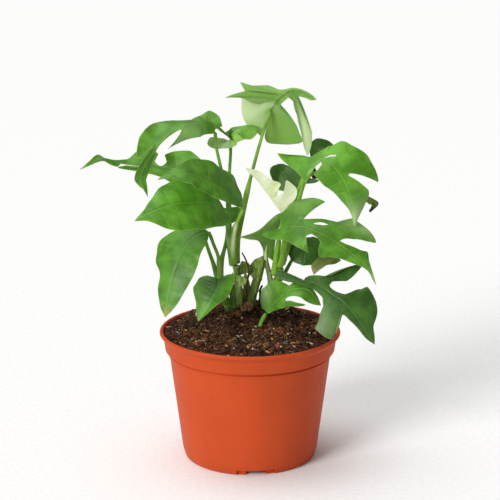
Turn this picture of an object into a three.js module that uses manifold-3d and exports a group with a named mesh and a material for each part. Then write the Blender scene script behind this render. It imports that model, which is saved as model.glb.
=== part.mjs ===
// A potted mini monstera: split-leaf climber in a 160 mm plastic nursery pot.
// Millimetres, Z up; shapes are laid out from the pot's own axis, standing on z = 0.
import * as THREE from 'three';
import { mergeVertices } from 'three/addons/utils/BufferGeometryUtils.js';
import Module from 'manifold-3d';

const wasm = await Module();
wasm.setup();

// pot
const rimRadius = 80;
const potHeight = 115.4;
const collarDrop = 17;
const bodyTopRadius = 71.5;
const heelRadius = 60.4;
const heelHeight = 8;
const footRadius = 58.2;
const wall = 1.5;
const footWidth = 6;
const floorLift = 5;
const notchCount = 3;
const notchWidth = 34;
const notchInnerWidth = 18;
const notchHeight = 4.5;
const notchTurn = -84.5 * Math.PI / 180;
const drainCount = 4;
const drainRadius = 5;
const drainCircle = 34;
const potSegments = 44;

// soil
const soilEdge = 113.3;
const soilMound = 6;
const humpHeight = 12;
const humpReach = 40;
const humpCentre = [-3, 20];
const soilGap = 0.4;

// plant
const bladeThickness = 0.8;
const tipHalf = 0.5;
const stationStep = 0.09;
const rowGap = 0.018;
const across = [-1, -0.5, 0, 0.5, 1];
const stalkRadiusTop = 1.1;
const stalkRadiusFoot = 1.8;
const joinGap = 0.35;
const plantDepth = 104;

// colours
const leafGreens = { bright: 0x4f8f30, deep: 0x3a6530, pale: 0xa5c282, young: 0xcbdc9a, olive: 0x66762c };
const stalkGreen = 0x6f9440;
const stemGreen = 0x5d7a35;
const rootBrown = 0x4b3323;
const barkBrown = 0x6a4a30;
const soilBrown = 0x3a2419;
const terracotta = 0xc4532f;

// Every leaf blade. rib: points along the midrib from the stalk to the tip. face: the way the upper
// side looks, at the base and (faceTip) at the tip. left and right: rows of the margin, each with the
// station along the rib in percent, then how far the margin stands ahead, outward and up in mm.
// stalk: points from the stem to the blade.
const leaves = {
  upper_left: {
    tone: 'bright',
    rib: [[-30, 4, 294], [-44, -4, 301], [-61, -12, 298], [-76, -20, 287], [-85, -26, 275],
      [-93, -28, 257], [-87, -26, 241]],
    face: [0, -0.35, 0.95],
    faceTip: [-0.8, -0.5, 0.2],
    left: [[0, 1, 4, -3], [16, 0, 9, -9], [21, 11, 10, -10], [23, 26, 11, -14], [27, 11, 7, -5],
      [31, 2, 3, -1], [50, 1, 1, -1], [72, -7, 1, -4], [75, 0, 1, -6], [89, 0, 1, -5],
      [100, 0, 0, 0]],
    right: [[0, -5, 0, 5], [2, -4, 9, 9], [6, -1, 17, 7], [10, 0, 15, 0], [18, 0, 13, -5],
      [31, 1, 17, -3], [42, -1, 18, 5], [49, 8, 14, 9], [53, 20, 6, 3], [56, 6, 1, 4], [59, -5, 1, 2],
      [66, 7, 1, 4], [75, 11, 1, 3], [82, 8, 1, -1], [100, 0, 0, 0]],
    stalk: [[-26, -4, 159], [-25, 0, 177], [-20, 7, 199], [-20, 11, 230], [-25, 9, 257], [-29, 7, 277],
      [-30, 5, 291]],
  },
  small_middle: {
    tone: 'bright',
    rib: [[-17, 18, 281], [-17, 22, 286], [-10, 25, 290], [9, 26, 292]],
    face: [-0.3, 0.3, 0.9],
    left: [[0, -1, -6, 14], [10, -1, -1, 40], [12, -2, -2, 24], [27, 5, -2, 2], [84, -11, 3, 2],
      [87, -3, 2, 3], [100, 0, 0, 0]],
    right: [[0, 2, -4, 4], [3, 0, -11, 16], [5, -5, -15, 15], [7, -9, -12, 10], [9, -10, -5, 5],
      [34, -7, 9, -7], [40, 0, 10, -12], [57, 1, 5, -7], [84, 0, 3, -11], [92, 1, 3, -7],
      [96, 0, 1, -2], [100, 0, 0, 0]],
    stalk: [[-13, 7, 173], [-17, 13, 193], [-18, 22, 227], [-18, 24, 251], [-17, 22, 268], [-17, 19, 279]],
  },
  far_left: {
    tone: 'deep',
    rib: [[-45, 36, 255], [-71, 34, 253], [-93, 30, 256], [-116, 26, 260], [-131, 23, 264],
      [-149, 20, 255]],
    face: [0, -0.1, 1],
    left: [[0, 5, 11, -8], [18, 1, 15, -9], [21, 8, 11, -4], [23, 22, 10, -1], [25, 40, 9, 0],
      [41, 5, 7, 0], [43, 1, 3, 1], [56, 1, 1, 0], [60, 0, 3, -3], [64, 1, 3, -3], [75, 0, 2, -2],
      [89, -1, 3, -1], [100, 0, 0, 0]],
    right: [[0, -4, 6, 2], [5, 0, 15, 10], [15, 0, 16, 11], [19, 5, 11, 9], [22, 0, 6, 4],
      [27, 0, 3, 1], [32, -1, 8, 3], [35, -7, 15, 9], [37, -2, 16, 11], [45, 1, 14, 8], [52, 1, 7, 2],
      [60, 0, 4, 1], [75, 0, 2, 0], [82, 0, 4, 3], [89, 0, 1, 2], [100, 0, 0, 0]],
    stalk: [[-27, -3, 157], [-32, 4, 173], [-40, 16, 194], [-44, 26, 213], [-45, 34, 234], [-44, 36, 253]],
  },
  domed: {
    tone: 'deep',
    rib: [[-6, -14, 230], [-19, -24, 244], [-35, -32, 255], [-52, -40, 264], [-67, -46, 264],
      [-77, -50, 261]],
    face: [0, -0.5, 0.85],
    left: [[0, 4, 5, 0], [14, 0, 8, -2], [32, 0, 12, -3], [46, 2, 13, -2], [64, 0, 12, 0],
      [78, 0, 6, 1], [100, 0, 0, 0]],
    right: [[0, -1, 9, 0], [7, -7, 19, 0], [14, -8, 30, 0], [27, -6, 32, -3], [40, -1, 30, -1],
      [53, 2, 22, -4], [67, 1, 11, -3], [84, 0, 4, -1], [100, 0, 0, 0]],
    stalk: [[-14, -1, 175], [-15, -4, 190], [-13, -9, 209], [-6, -14, 228]],
  },
  heart: {
    tone: 'bright',
    rib: [[-22, -10, 226], [-38, -24, 235], [-57, -38, 238], [-75, -48, 236], [-88, -55, 232],
      [-96, -60, 228]],
    face: [-0.1, -0.75, 0.65],
    left: [[0, -18, -8, 0], [4, -29, -7, 0], [7, -24, 5, -1], [15, -8, 19, -2], [34, 0, 26, -3],
      [52, 0, 24, -3], [67, 0, 17, -2], [81, 0, 6, -1], [100, 0, 0, 0]],
    right: [[0, 3, 6, 0], [5, 4, 12, 0], [12, 4, 18, -1], [24, 1, 24, -2], [37, -1, 26, -3],
      [50, 0, 21, -2], [63, 0, 12, -1], [78, 0, 4, 0], [100, 0, 0, 0]],
    stalk: [[-15, 3, 172], [-18, 3, 190], [-20, -2, 210], [-21, -10, 225]],
  },
  drooping: {
    tone: 'bright',
    rib: [[-37, 0, 205], [-48, -8, 202], [-58, -18, 192], [-65, -26, 176], [-70, -32, 156],
      [-73, -36, 137]],
    face: [-0.4, -0.75, 0.5],
    left: [[0, 1, 3, 0], [11, -1, 10, 0], [30, 1, 16, -1], [53, 3, 19, -2], [70, 1, 15, -2],
      [85, 0, 10, -1], [94, 0, 5, 0], [100, 0, 0, 0]],
    right: [[0, 2, 4, -1], [14, 1, 11, -2], [21, 8, 22, -3], [38, 4, 27, -4], [48, 5, 24, -4],
      [67, -1, 15, -3], [78, 0, 12, -2], [92, -1, 7, -1], [100, 0, 0, 0]],
    stalk: [[-26, -7, 159], [-27, -6, 180], [-32, -3, 194], [-36, 0, 204]],
  },
  small_heart: {
    tone: 'bright',
    rib: [[-27, -38, 172], [-29, -44, 164], [-35, -50, 154], [-44, -54, 139]],
    face: [-0.1, -0.75, 0.6],
    left: [[0, -1, 2, 0], [2, -5, 6, 0], [12, -9, 14, -1], [18, -4, 13, -3], [39, 0, 11, -3],
      [65, 0, 6, -2], [85, 0, 3, -1], [100, 0, 0, 0]],
    right: [[0, -1, 4, 0], [3, -3, 11, -1], [21, -5, 18, -3], [48, -1, 20, -4], [59, 2, 16, -4],
      [75, 4, 9, -2], [91, 0, 5, -1], [100, 0, 0, 0]],
    stalk: [[-22, 3, 138], [-24, -9, 147], [-26, -22, 158], [-27, -37, 171]],
  },
  top: {
    tone: 'pale',
    rib: [[18, 24, 308], [22, 19, 316], [28, 14, 322], [35, 10, 327], [45, 7, 326], [57, 6, 319]],
    face: [0, 0.8, 0.5],
    faceTip: [0, 0.5, 0.8],
    left: [[0, -9, 2, -1], [2, -28, 5, -7], [5, -34, 11, -8], [7, -32, 19, -9], [9, -28, 28, -11],
      [13, -21, 36, -13], [16, -12, 28, -9], [19, -5, 15, -5], [36, -6, 5, -3], [45, -1, 5, -2],
      [51, -4, 12, -3], [57, -8, 26, -14], [60, -5, 42, -28], [62, 0, 51, -37], [66, 10, 40, -21],
      [67, 6, 29, -13], [69, 1, 11, -5], [90, -2, 6, -1], [96, -1, 3, -2], [100, 0, 0, 0]],
    right: [[0, -8, -2, 0], [2, -30, -3, -5], [5, -29, 12, 3], [11, -23, 20, 8], [13, -13, 24, 9],
      [18, -10, 9, 1], [19, -9, 25, -2], [22, -17, 41, -4], [24, -9, 30, 0], [28, -6, 19, 4],
      [31, -3, 8, 2], [40, -19, 26, 2], [41, -22, 29, 13], [42, -16, 17, 11], [44, -8, 10, 10],
      [46, -3, 4, 4], [61, -1, 1, 1], [79, 0, 1, 1], [93, 0, 1, 1], [100, 0, 0, 0]],
    stalk: [[-12, 3, 174], [-11, 7, 195], [-7, 11, 216], [-2, 12, 239], [5, 15, 266], [12, 20, 290],
      [18, 24, 307]],
  },
  upper_right: {
    tone: 'bright',
    rib: [[52, -6, 271], [65, -14, 270], [75, -21, 261], [82, -26, 249], [87, -29, 233],
      [89, -30, 216]],
    face: [-0.1, -0.55, 0.85],
    faceTip: [0.3, -0.9, 0.3],
    left: [[0, 1, 3, 0], [9, 0, 9, 1], [17, -1, 16, 2], [20, -1, 24, 2], [27, -1, 27, 0],
      [33, 0, 31, -3], [37, 4, 34, -6], [40, 11, 34, -9], [42, 21, 30, -12], [43, 9, 21, -6],
      [48, -1, 14, -2], [53, -4, 6, 0], [68, -10, 11, -2], [71, -1, 19, -4], [80, 0, 13, -3],
      [92, 1, 4, -1], [100, 0, 0, 0]],
    right: [[0, -7, -1, 0], [4, -24, -1, 0], [6, -40, -3, -2], [8, -32, 5, -2], [10, -18, 14, -3],
      [12, -2, 26, -4], [15, -6, 16, -2], [16, -3, 9, -1], [21, -6, 4, 0], [32, -8, 7, 0],
      [35, -8, 14, -1], [39, -9, 18, -2], [46, 0, 16, -3], [69, 0, 8, -3], [88, 1, 1, -2],
      [100, 0, 0, 0]],
    stalk: [[28, 5, 172], [33, 3, 196], [37, 1, 214], [42, 0, 232], [47, -3, 252], [52, -6, 270]],
  },
  back_right: {
    tone: 'deep',
    rib: [[56, 32, 262], [60, 36, 269], [66, 40, 271], [77, 44, 269]],
    face: [-0.2, -0.5, 0.85],
    left: [[0, -1, 1, 3], [10, 3, 5, 4], [35, 5, 6, 6], [65, 4, 5, 4], [100, 0, 0, 0]],
    right: [[0, 1, 4, -2], [35, 1, 8, -5], [70, 6, 6, -2], [100, 0, 0, 0]],
    stalk: [[26, 9, 169], [33, 14, 197], [38, 18, 219], [43, 20, 237], [48, 22, 251], [52, 26, 257],
      [56, 31, 260]],
  },
  dark_back: {
    tone: 'deep',
    rib: [[47, 32, 247], [36, 34, 251], [27, 32, 248], [26, 26, 235]],
    face: [0, -0.4, 0.9],
    faceTip: [-0.5, -0.8, 0.3],
    left: [[0, -15, 2, 4], [7, -16, 4, 3], [20, -13, 9, 1], [45, -5, 17, -2], [80, 10, 8, 0],
      [100, 0, 0, 0]],
    right: [[0, -6, 8, 1], [6, 0, 10, -1], [33, 0, 7, -2], [58, 0, 7, 5], [71, -2, 6, 9],
      [83, 0, 3, 8], [100, 0, 0, 0]],
    stalk: [[25, 10, 165], [30, 15, 193], [34, 20, 214], [39, 26, 231], [43, 31, 243], [46, 32, 246]],
  },
  mid_right: {
    tone: 'bright',
    rib: [[28, -22, 213], [43, -30, 216], [59, -37, 212], [76, -42, 203], [91, -45, 192],
      [102, -46, 182], [107, -46, 169]],
    face: [0, -0.6, 0.8],
    faceTip: [0.3, -0.85, 0.4],
    left: [[0, -4, 7, 0], [2, -8, 16, 0], [6, -8, 24, 0], [9, -2, 31, -1], [11, 8, 34, -3],
      [14, 13, 33, -6], [15, 4, 22, -2], [17, -4, 11, 0], [19, -7, 7, 0], [26, -7, 9, 0],
      [28, 1, 15, -1], [30, 13, 20, -3], [34, 18, 29, -4], [36, 28, 29, -7], [42, 34, 25, -10],
      [44, 17, 16, -4], [47, 5, 9, -1], [49, -1, 3, 0], [60, -2, 6, -1], [68, -2, 9, -2],
      [71, 0, 12, -3], [78, 0, 5, -2], [85, 1, 1, -1], [100, 0, 0, 0]],
    right: [[0, -4, 1, 0], [2, -14, 2, 0], [5, -26, 3, -2], [7, -18, 9, -2], [11, -8, 13, -2],
      [19, 1, 19, -3], [22, 12, 21, -5], [24, 3, 18, -3], [26, -1, 12, -1], [30, -5, 7, 0],
      [34, -6, 4, 0], [37, -4, 5, 0], [43, -7, 7, -1], [46, -8, 14, -2], [49, -7, 18, -3],
      [52, -1, 12, -3], [64, 0, 6, -3], [78, 0, 2, -2], [94, 0, 1, -1], [100, 0, 0, 0]],
    stalk: [[26, 2, 171], [30, -7, 189], [31, -15, 202], [29, -21, 211]],
  },
  inner_left: {
    tone: 'deep',
    rib: [[28, 9, 210], [17, 3, 206], [5, -3, 203], [-9, -8, 201]],
    face: [0, 0.6, 0.8],
    left: [[0, -2, 10, 5], [20, -4, 10, 6], [40, -1, 7, 4], [60, 1, 4, 1], [80, 0, 2, 0],
      [100, 0, 0, 0]],
    right: [[0, 15, 27, -22], [20, 12, 22, -16], [40, 5, 15, -10], [60, 1, 8, -4], [80, 0, 3, -3],
      [100, 0, 0, 0]],
    stalk: [[19, 9, 150], [17, 9, 163], [14, 10, 176], [14, 11, 190], [18, 11, 203], [26, 10, 209]],
  },
  new: {
    tone: 'young',
    rib: [[29, 1, 221], [17, -3, 239], [7, -7, 253], [-4, -11, 263]],
    face: [-0.1, -0.9, 0.3],
    left: [[0, 1, 2, 0], [20, -1, 2, -1], [50, -1, 2, -1], [80, 0, 1.5, -1], [100, 0, 0, 0]],
    right: [[0, 1, 4, 0], [5, 1, 14, 2], [9, 7, 21, 4], [12, 17, 18, 5], [14, 7, 13, 2], [17, 4, 9, 1],
      [25, -1, 4, 0], [33, 0, 9, 3], [38, 0, 12, 4], [48, 0, 9, 3], [58, 0, 7, 2], [73, 0, 5, 1],
      [100, 0, 0, 0]],
    stalk: [[21, 4, 163], [23, 3, 180], [26, 2, 200], [29, 1, 220]],
  },
  under_right: {
    tone: 'deep',
    rib: [[48, 14, 195], [48, 10, 185], [47, 4, 172]],
    face: [0, -0.8, 0.5],
    left: [[0, -1, 8, 0], [15, 0, 15, -1], [40, 4, 15, -3], [70, 5, 11, -2], [100, 0, 0, 0]],
    right: [[0, -1, 6, 0], [15, 0, 14, -1], [40, 2, 15, -3], [70, 4, 11, -2], [100, 0, 0, 0]],
    stalk: [[24, 9, 156], [30, 12, 162], [36, 16, 172], [43, 17, 185], [48, 15, 193]],
  },
  olive: {
    tone: 'olive',
    rib: [[77, -8, 183], [66, -14, 181], [55, -18, 170]],
    face: [0, -0.6, 0.7],
    left: [[0, 0, 4, 0], [25, 2, 6, 0], [50, 4, 3, 0], [80, 1, 1, 0], [100, 0, 0, 0]],
    right: [[0, 1, 5, 0], [40, 2, 8, -1], [75, 2, 8, -1], [100, 0, 0, 0]],
    stalk: [[28, 3, 174], [36, -7, 198], [47, -17, 209], [62, -23, 208], [71, -17, 196], [76, -9, 184]],
  },
  low_right: {
    tone: 'deep',
    rib: [[46, -30, 168], [56, -36, 167], [66, -42, 162], [81, -50, 153], [92, -54, 140],
      [99, -56, 129], [106, -56, 119]],
    face: [0, -0.7, 0.7],
    faceTip: [0.2, -0.9, 0.4],
    left: [[0, 0, 3, 0], [3, 1, 6, 0], [11, 11, 10, 0], [14, 16, 19, 0], [17, 24, 37, -4],
      [19, 21, 25, -3], [21, 16, 17, -3], [29, 2, 17, -1], [32, -1, 6, 0], [41, -4, 4, 0],
      [45, 0, 7, 0], [49, 0, 18, -2], [53, -1, 26, -4], [64, -1, 25, -6], [81, 0, 10, -3],
      [92, 0, 5, -1], [100, 0, 0, 0]],
    right: [[0, -4, -1, 0], [2, -17, -3, 2], [4, -31, -5, 0], [6, -34, -1, -2], [9, -23, 3, -2],
      [11, -11, 4, -1], [15, -4, 5, 0], [25, 0, 6, 0], [30, 3, 7, 0], [33, 6, 13, -2], [39, 1, 20, -4],
      [43, 0, 32, -7], [46, 7, 32, -8], [49, 13, 28, -8], [51, 8, 17, -4], [54, 1, 8, -1],
      [65, -3, 6, -1], [74, 0, 4, -1], [87, 0, 3, 0], [100, 0, 0, 0]],
    stalk: [[22, 9, 131], [27, 0, 142], [33, -9, 154], [39, -17, 162], [45, -29, 167]],
  },
  low_centre: {
    tone: 'bright',
    rib: [[14, -14, 135], [22, -20, 146], [35, -26, 158], [48, -30, 160], [56, -33, 154],
      [61, -34, 147]],
    face: [-0.1, -0.65, 0.75],
    left: [[0, -3, 6, 0], [3, -4, 15, 0], [13, -1, 20, 1], [25, 0, 20, 0], [33, 0, 13, 0],
      [42, 0, 4, 0], [56, 0, 6, 0], [69, 0, 4, -1], [85, 0, 2, -1], [100, 0, 0, 0]],
    right: [[0, 2, 3, 0], [8, 5, 6, -1], [16, 15, 13, -3], [20, 27, 21, -5], [24, 11, 9, -3],
      [31, 0, 5, -1], [36, -2, 4, -1], [40, 0, 5, -1], [65, 0, 9, -1], [89, 0, 5, -1], [100, 0, 0, 0]],
    stalk: [[8, -20, 114], [9, -18, 124], [11, -16, 129], [14, -14, 134]],
  },
  brown_tip: {
    tone: 'olive',
    rib: [[90, 24, 238], [102, 22, 230], [111, 20, 224], [106, 18, 217]],
    face: [-0.1, -0.6, 0.8],
    left: [[0, 0, 4, 0], [33, 1, 2, 0], [60, -1, 2, 0], [80, -3, 1, 0], [100, 0, 0, 0]],
    right: [[0, 1, 6, 0], [33, 0, 4, 0], [60, -2, 5, 0], [85, 4, 2, 0], [100, 0, 0, 0]],
    stalk: [[29, 7, 175], [37, 10, 207], [43, 13, 229], [49, 14, 247], [58, 17, 253], [68, 19, 249],
      [79, 21, 244], [89, 24, 238]],
  },
};

// Short scale leaves and a papery old leaf base that wrap the foot of the stems.
const scales = {
  right: {
    rib: [[-1, 9, 132], [1, 7, 143], [4, 4, 155], [8, 1, 168], [12, -2, 183]],
    face: [-0.2, -0.9, 0.2],
    left: [[0, 0, 3, 0], [58, 0, 3, 0], [63, 0, 7, 0], [75, 1, 9, 1], [87, 1, 7, 1], [95, 0, 3, 0],
      [100, 0, 0, 0]],
    right: [[0, 0, 4, 1], [50, 0, 3, 1], [85, 0, 2, 1], [100, 0, 0, 0]],
  },
  middle: {
    rib: [[-9, 8, 132], [-10, 4, 143], [-11, 0, 154], [-12, -3, 166]],
    face: [0, -0.9, 0.2],
    left: [[0, 0, 3, 1], [50, 0, 3, 1], [85, 0, 2, 1], [100, 0, 0, 0]],
    right: [[0, 0, 3, 1], [66, 0, 3, 1], [74, 0, 7, 2], [88, 0, 9, 2], [95, 0, 5, 1], [100, 0, 0, 0]],
  },
  left: {
    rib: [[-15, 7, 132], [-15, 5, 144], [-16, 2, 156], [-15, 0, 167]],
    face: [0, -0.9, 0.2],
    left: [[0, 0, 3, 1], [50, 0, 3, 1], [85, 0, 2, 1], [100, 0, 0, 0]],
    right: [[0, 0, 2, 1], [50, 0, 2, 1], [85, 0, 1, 0], [100, 0, 0, 0]],
  },
  inner: {
    rib: [[-3, 12, 133], [-3, 11, 144], [-3, 9, 156], [-4, 7, 166]],
    face: [0, -0.9, 0.2],
    left: [[0, 0, 2, 0], [50, 0, 3, 0], [85, 0, 2, 0], [100, 0, 0, 0]],
    right: [[0, 0, 3, 0], [50, 0, 3, 0], [85, 0, 1, 0], [100, 0, 0, 0]],
  },
  round: {
    rib: [[-4, 1, 166], [-5, 0, 172], [-7, -2, 178]],
    face: [0.1, -0.9, 0.3],
    left: [[0, 0, 4, 1], [40, 0, 6, 2], [75, 0, 5, 2], [100, 0, 0, 0]],
    right: [[0, 0, 4, 1], [40, 0, 5, 2], [75, 0, 4, 2], [100, 0, 0, 0]],
  },
  papery: {
    rib: [[-3, 2, 131], [-3, 2, 135], [-2, 1, 141]],
    face: [0, -0.9, 0.4],
    left: [[0, 0, 5, 1], [35, 1, 6, 1], [60, 0, 5, 0], [82, 0, 2, 0], [100, 0, 0, 0]],
    right: [[0, 0, 3, 1], [35, 0, 5, 1], [65, 1, 6, 1], [90, 1, 4, 0], [100, 0, 0, 0]],
  },
};

// Stems rise out of the soil and carry the stalks.
const stems = {
  middle: {
    path: [[-8, 17, plantDepth], [-8, 16, 124], [-9, 11, 143], [-11, 6, 159], [-12, 3, 173]],
    foot: 4.5,
    top: 3,
  },
  left: {
    path: [[-16, 14, plantDepth], [-17, 13, 124], [-21, 6, 140], [-26, -4, 156]],
    foot: 4.2,
    top: 2.8,
  },
  right: {
    path: [[0, 18, plantDepth], [1, 17, 126], [4, 14, 143], [9, 9, 162], [12, 6, 177]],
    foot: 3,
    top: 2,
  },
  far: {
    path: [[17, 19, plantDepth], [18, 18, 124], [20, 14, 141], [24, 9, 158], [27, 5, 170]],
    foot: 3.8,
    top: 2.8,
  },
};

// Aerial roots: short brown spurs beside the stems.
const roots = {
  front: {
    path: [[-3, 2, 144], [-3, -1, 157], [-1, -4, 168], [-3, -5, 178], [-7, -6, 187]],
    foot: 1.3,
    top: 0.6,
  },
  back: {
    path: [[8, 18, 118], [8, 17, 130], [9, 15, 140], [9, 13, 147], [11, 12, 152]],
    foot: 1.6,
    top: 0.9,
  },
};

// curves

// A smooth curve through evenly spaced points, at t from 0 to 1.
function along(points, t) {
  const last = points.length - 1;
  const u = Math.min(Math.max(t, 0), 1) * last;
  const i = Math.min(Math.floor(u), last - 1);
  const f = u - i;
  const at = (k) => {
    if (k < 0) return points[0].clone().multiplyScalar(2).sub(points[1]);
    if (k > last) return points[last].clone().multiplyScalar(2).sub(points[last - 1]);
    return points[k];
  };
  const blend = (a, b, c, d) => 0.5 * (2 * b + (c - a) * f + (2 * a - 5 * b + 4 * c - d) * f * f
    + (3 * b - a - 3 * c + d) * f * f * f);
  const [a, b, c, d] = [at(i - 1), at(i), at(i + 1), at(i + 2)];
  return new THREE.Vector3(blend(a.x, b.x, c.x, d.x), blend(a.y, b.y, c.y, d.y), blend(a.z, b.z, c.z, d.z));
}

// One column of the margin rows, eased between the rows without overshoot.
function eased(rows, column, percent) {
  const slope = rows.slice(1).map((row, k) => (row[column] - rows[k][column]) / (row[0] - rows[k][0]));
  const tangent = rows.map((row, k) => {
    if (k === 0) return slope[0];
    if (k === rows.length - 1) return slope[k - 1];
    if (slope[k - 1] * slope[k] <= 0) return 0;
    const before = rows[k][0] - rows[k - 1][0];
    const after = rows[k + 1][0] - rows[k][0];
    const wa = 2 * after + before;
    const wb = after + 2 * before;
    return (wa + wb) / (wa / slope[k - 1] + wb / slope[k]);
  });
  let i = 0;
  while (i < rows.length - 2 && percent >= rows[i + 1][0]) i += 1;
  const h = rows[i + 1][0] - rows[i][0];
  const t = (percent - rows[i][0]) / h;
  return (2 * t ** 3 - 3 * t ** 2 + 1) * rows[i][column] + (t ** 3 - 2 * t ** 2 + t) * h * tangent[i]
    + (3 * t ** 2 - 2 * t ** 3) * rows[i + 1][column] + (t ** 3 - t ** 2) * h * tangent[i + 1];
}

// closed bodies

// A closed body through a row of rings that all have the same even number of points.
function loft(rings) {
  const count = rings[0].length;
  const position = rings.flat().flatMap((p) => [p.x, p.y, p.z]);
  const index = [];
  const quad = (a, b, c, d) => index.push(a, b, c, a, c, d);
  for (let i = 0; i < rings.length - 1; i += 1) {
    for (let j = 0; j < count; j += 1) {
      const k = (j + 1) % count;
      quad(i * count + j, i * count + k, (i + 1) * count + k, (i + 1) * count + j);
    }
  }
  const end = (rings.length - 1) * count;
  for (let j = 0; j < count / 2 - 1; j += 1) {
    const far = count - 1 - j;
    quad(far, far - 1, j + 1, j);
    quad(end + j, end + j + 1, end + far - 1, end + far);
  }
  const geometry = new THREE.BufferGeometry();
  geometry.setAttribute('position', new THREE.Float32BufferAttribute(position, 3));
  geometry.setIndex(index);
  return geometry;
}

function solidOf(geometry) {
  const bare = geometry.clone();
  bare.deleteAttribute('normal');
  bare.deleteAttribute('uv');
  const welded = mergeVertices(bare, 1e-4);
  const build = (triVerts) => new wasm.Manifold(new wasm.Mesh({
    numProp: 3,
    vertProperties: new Float32Array(welded.attributes.position.array),
    triVerts,
  }));
  const faces = Uint32Array.from(welded.index.array);
  const solid = build(faces);
  if (solid.volume() > 0) return solid;
  for (let k = 0; k < faces.length; k += 3) {
    [faces[k + 1], faces[k + 2]] = [faces[k + 2], faces[k + 1]];
  }
  return build(faces);
}

function geometryOf(solid) {
  const mesh = solid.getMesh();
  const geometry = new THREE.BufferGeometry();
  geometry.setAttribute('position', new THREE.BufferAttribute(new Float32Array(mesh.vertProperties), 3));
  geometry.setIndex(new THREE.BufferAttribute(new Uint32Array(mesh.triVerts), 1));
  return geometry;
}

// The biggest piece left when others are cut away.
function cut(solid, others) {
  const trimmed = others.reduce((rest, other) => rest.subtract(other), solid);
  return trimmed.decompose().reduce((best, piece) => (piece.volume() > best.volume() ? piece : best));
}

// plant pieces

// A round, tapering tube through the points; grow widens it all round.
function tube({ path, foot, top }, grow = 0, sides = 6) {
  const curve = new THREE.CatmullRomCurve3(path.map((p) => new THREE.Vector3(...p)));
  const steps = Math.max(4, Math.ceil(curve.getLength() / 17));
  const frames = curve.computeFrenetFrames(steps, false);
  const rings = [];
  for (let i = 0; i <= steps; i += 1) {
    const t = i / steps;
    const reach = i === 0 ? -grow : (i === steps ? grow : 0);
    const centre = curve.getPointAt(t).addScaledVector(frames.tangents[i], reach);
    const radius = foot + (top - foot) * t + grow;
    const ring = [];
    for (let j = 0; j < sides; j += 1) {
      const turn = (2 * Math.PI * j) / sides;
      ring.push(centre.clone()
        .addScaledVector(frames.normals[i], radius * Math.cos(turn))
        .addScaledVector(frames.binormals[i], radius * Math.sin(turn)));
    }
    rings.push(ring);
  }
  return solidOf(loft(rings));
}

// Stations along the rib: every margin row of both sides, and steps between.
function stationsOf(leaf) {
  const rows = [...leaf.left, ...leaf.right].map((row) => row[0] / 100).sort((a, b) => a - b);
  const stations = [0];
  for (const row of rows) {
    const last = stations[stations.length - 1];
    if (row - last < rowGap && row < 1) continue;
    if (row === last) continue;
    const parts = Math.ceil((row - last) / stationStep);
    for (let k = 1; k <= parts; k += 1) stations.push(last + ((row - last) * k) / parts);
  }
  return stations;
}

// One point of a blade: s along the rib, v from the left margin (-1) to the right margin (1).
// Veins leave the rib sideways and bend ahead; the lift grows towards the margin.
function bladePoint(leaf, s, v) {
  const rib = leaf.rib.map((p) => new THREE.Vector3(...p));
  const centre = along(rib, s);
  const ahead = along(rib, s + 0.001).sub(along(rib, s - 0.001)).normalize();
  const face = new THREE.Vector3(...leaf.face).lerp(new THREE.Vector3(...(leaf.faceTip ?? leaf.face)), s);
  const up = face.addScaledVector(ahead, -face.dot(ahead)).normalize();
  const side = new THREE.Vector3().crossVectors(ahead, up).multiplyScalar(Math.sign(v));
  const rows = v < 0 ? leaf.left : leaf.right;
  const t = Math.abs(v);
  const reach = eased(rows, 2, 100 * s) + (s === 1 ? tipHalf : 0);
  return centre
    .addScaledVector(ahead, eased(rows, 1, 100 * s) * 0.5 * (t + t * t))
    .addScaledVector(side, reach * t)
    .addScaledVector(up, eased(rows, 3, 100 * s) * t * t);
}

// A blade as a thin closed shell; grow thickens it on both sides.
function blade(leaf, grow = 0) {
  const half = bladeThickness / 2 + grow;
  const stations = stationsOf(leaf);
  const rings = stations.map((s) => {
    const row = across.map((v) => bladePoint(leaf, s, v));
    const near = Math.min(s + 0.01, 1);
    const back = Math.max(s - 0.01, 0);
    const lift = across.map((v, j) => {
      const forth = bladePoint(leaf, near, v).sub(bladePoint(leaf, back, v));
      const over = row[Math.min(j + 1, 4)].clone().sub(row[Math.max(j - 1, 0)]);
      return new THREE.Vector3().crossVectors(over, forth).normalize().multiplyScalar(half);
    });
    const above = row.map((p, j) => p.clone().add(lift[j]));
    const below = row.map((p, j) => p.clone().sub(lift[j]));
    return [...above, ...below.reverse()];
  });
  return solidOf(loft(rings));
}

// pot

// The wall and floor of the pot turned once round, as one outline that closes on itself.
function potOutline() {
  const collarTop = potHeight - 5.6;
  const step = potHeight - collarDrop;
  const innerFoot = footRadius - footWidth;
  const floorTop = floorLift + wall;
  return [
    [footRadius - 1, 0], [footRadius, 0.8], [heelRadius, heelHeight], [bodyTopRadius, step - 1.6],
    [bodyTopRadius + 2.5, step - 1], [rimRadius - 5, step], [rimRadius - 3.4, collarTop - 0.6],
    [rimRadius - 1.8, collarTop + 1.2], [rimRadius, collarTop + 3.2], [rimRadius - 0.2, potHeight - 1],
    [rimRadius - 1.2, potHeight], [rimRadius - 2.6, potHeight], [rimRadius - 3.6, potHeight - 1],
    [rimRadius - 4.8, collarTop - 1], [rimRadius - 6.5, step + 1.4], [bodyTopRadius - wall, step - 0.4],
    [heelRadius - wall - 0.6, floorTop], [drainRadius, floorTop], [drainRadius, floorLift],
    [innerFoot, floorLift], [innerFoot, 0],
  ];
}

// A prism standing on the ground, laid across the foot ring at the given turn.
function footBlock(width, near, far, turn) {
  const block = new THREE.BoxGeometry(far - near, width, 2 * notchHeight);
  block.translate((near + far) / 2, 0, 0);
  block.rotateZ(turn);
  return solidOf(block);
}

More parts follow.
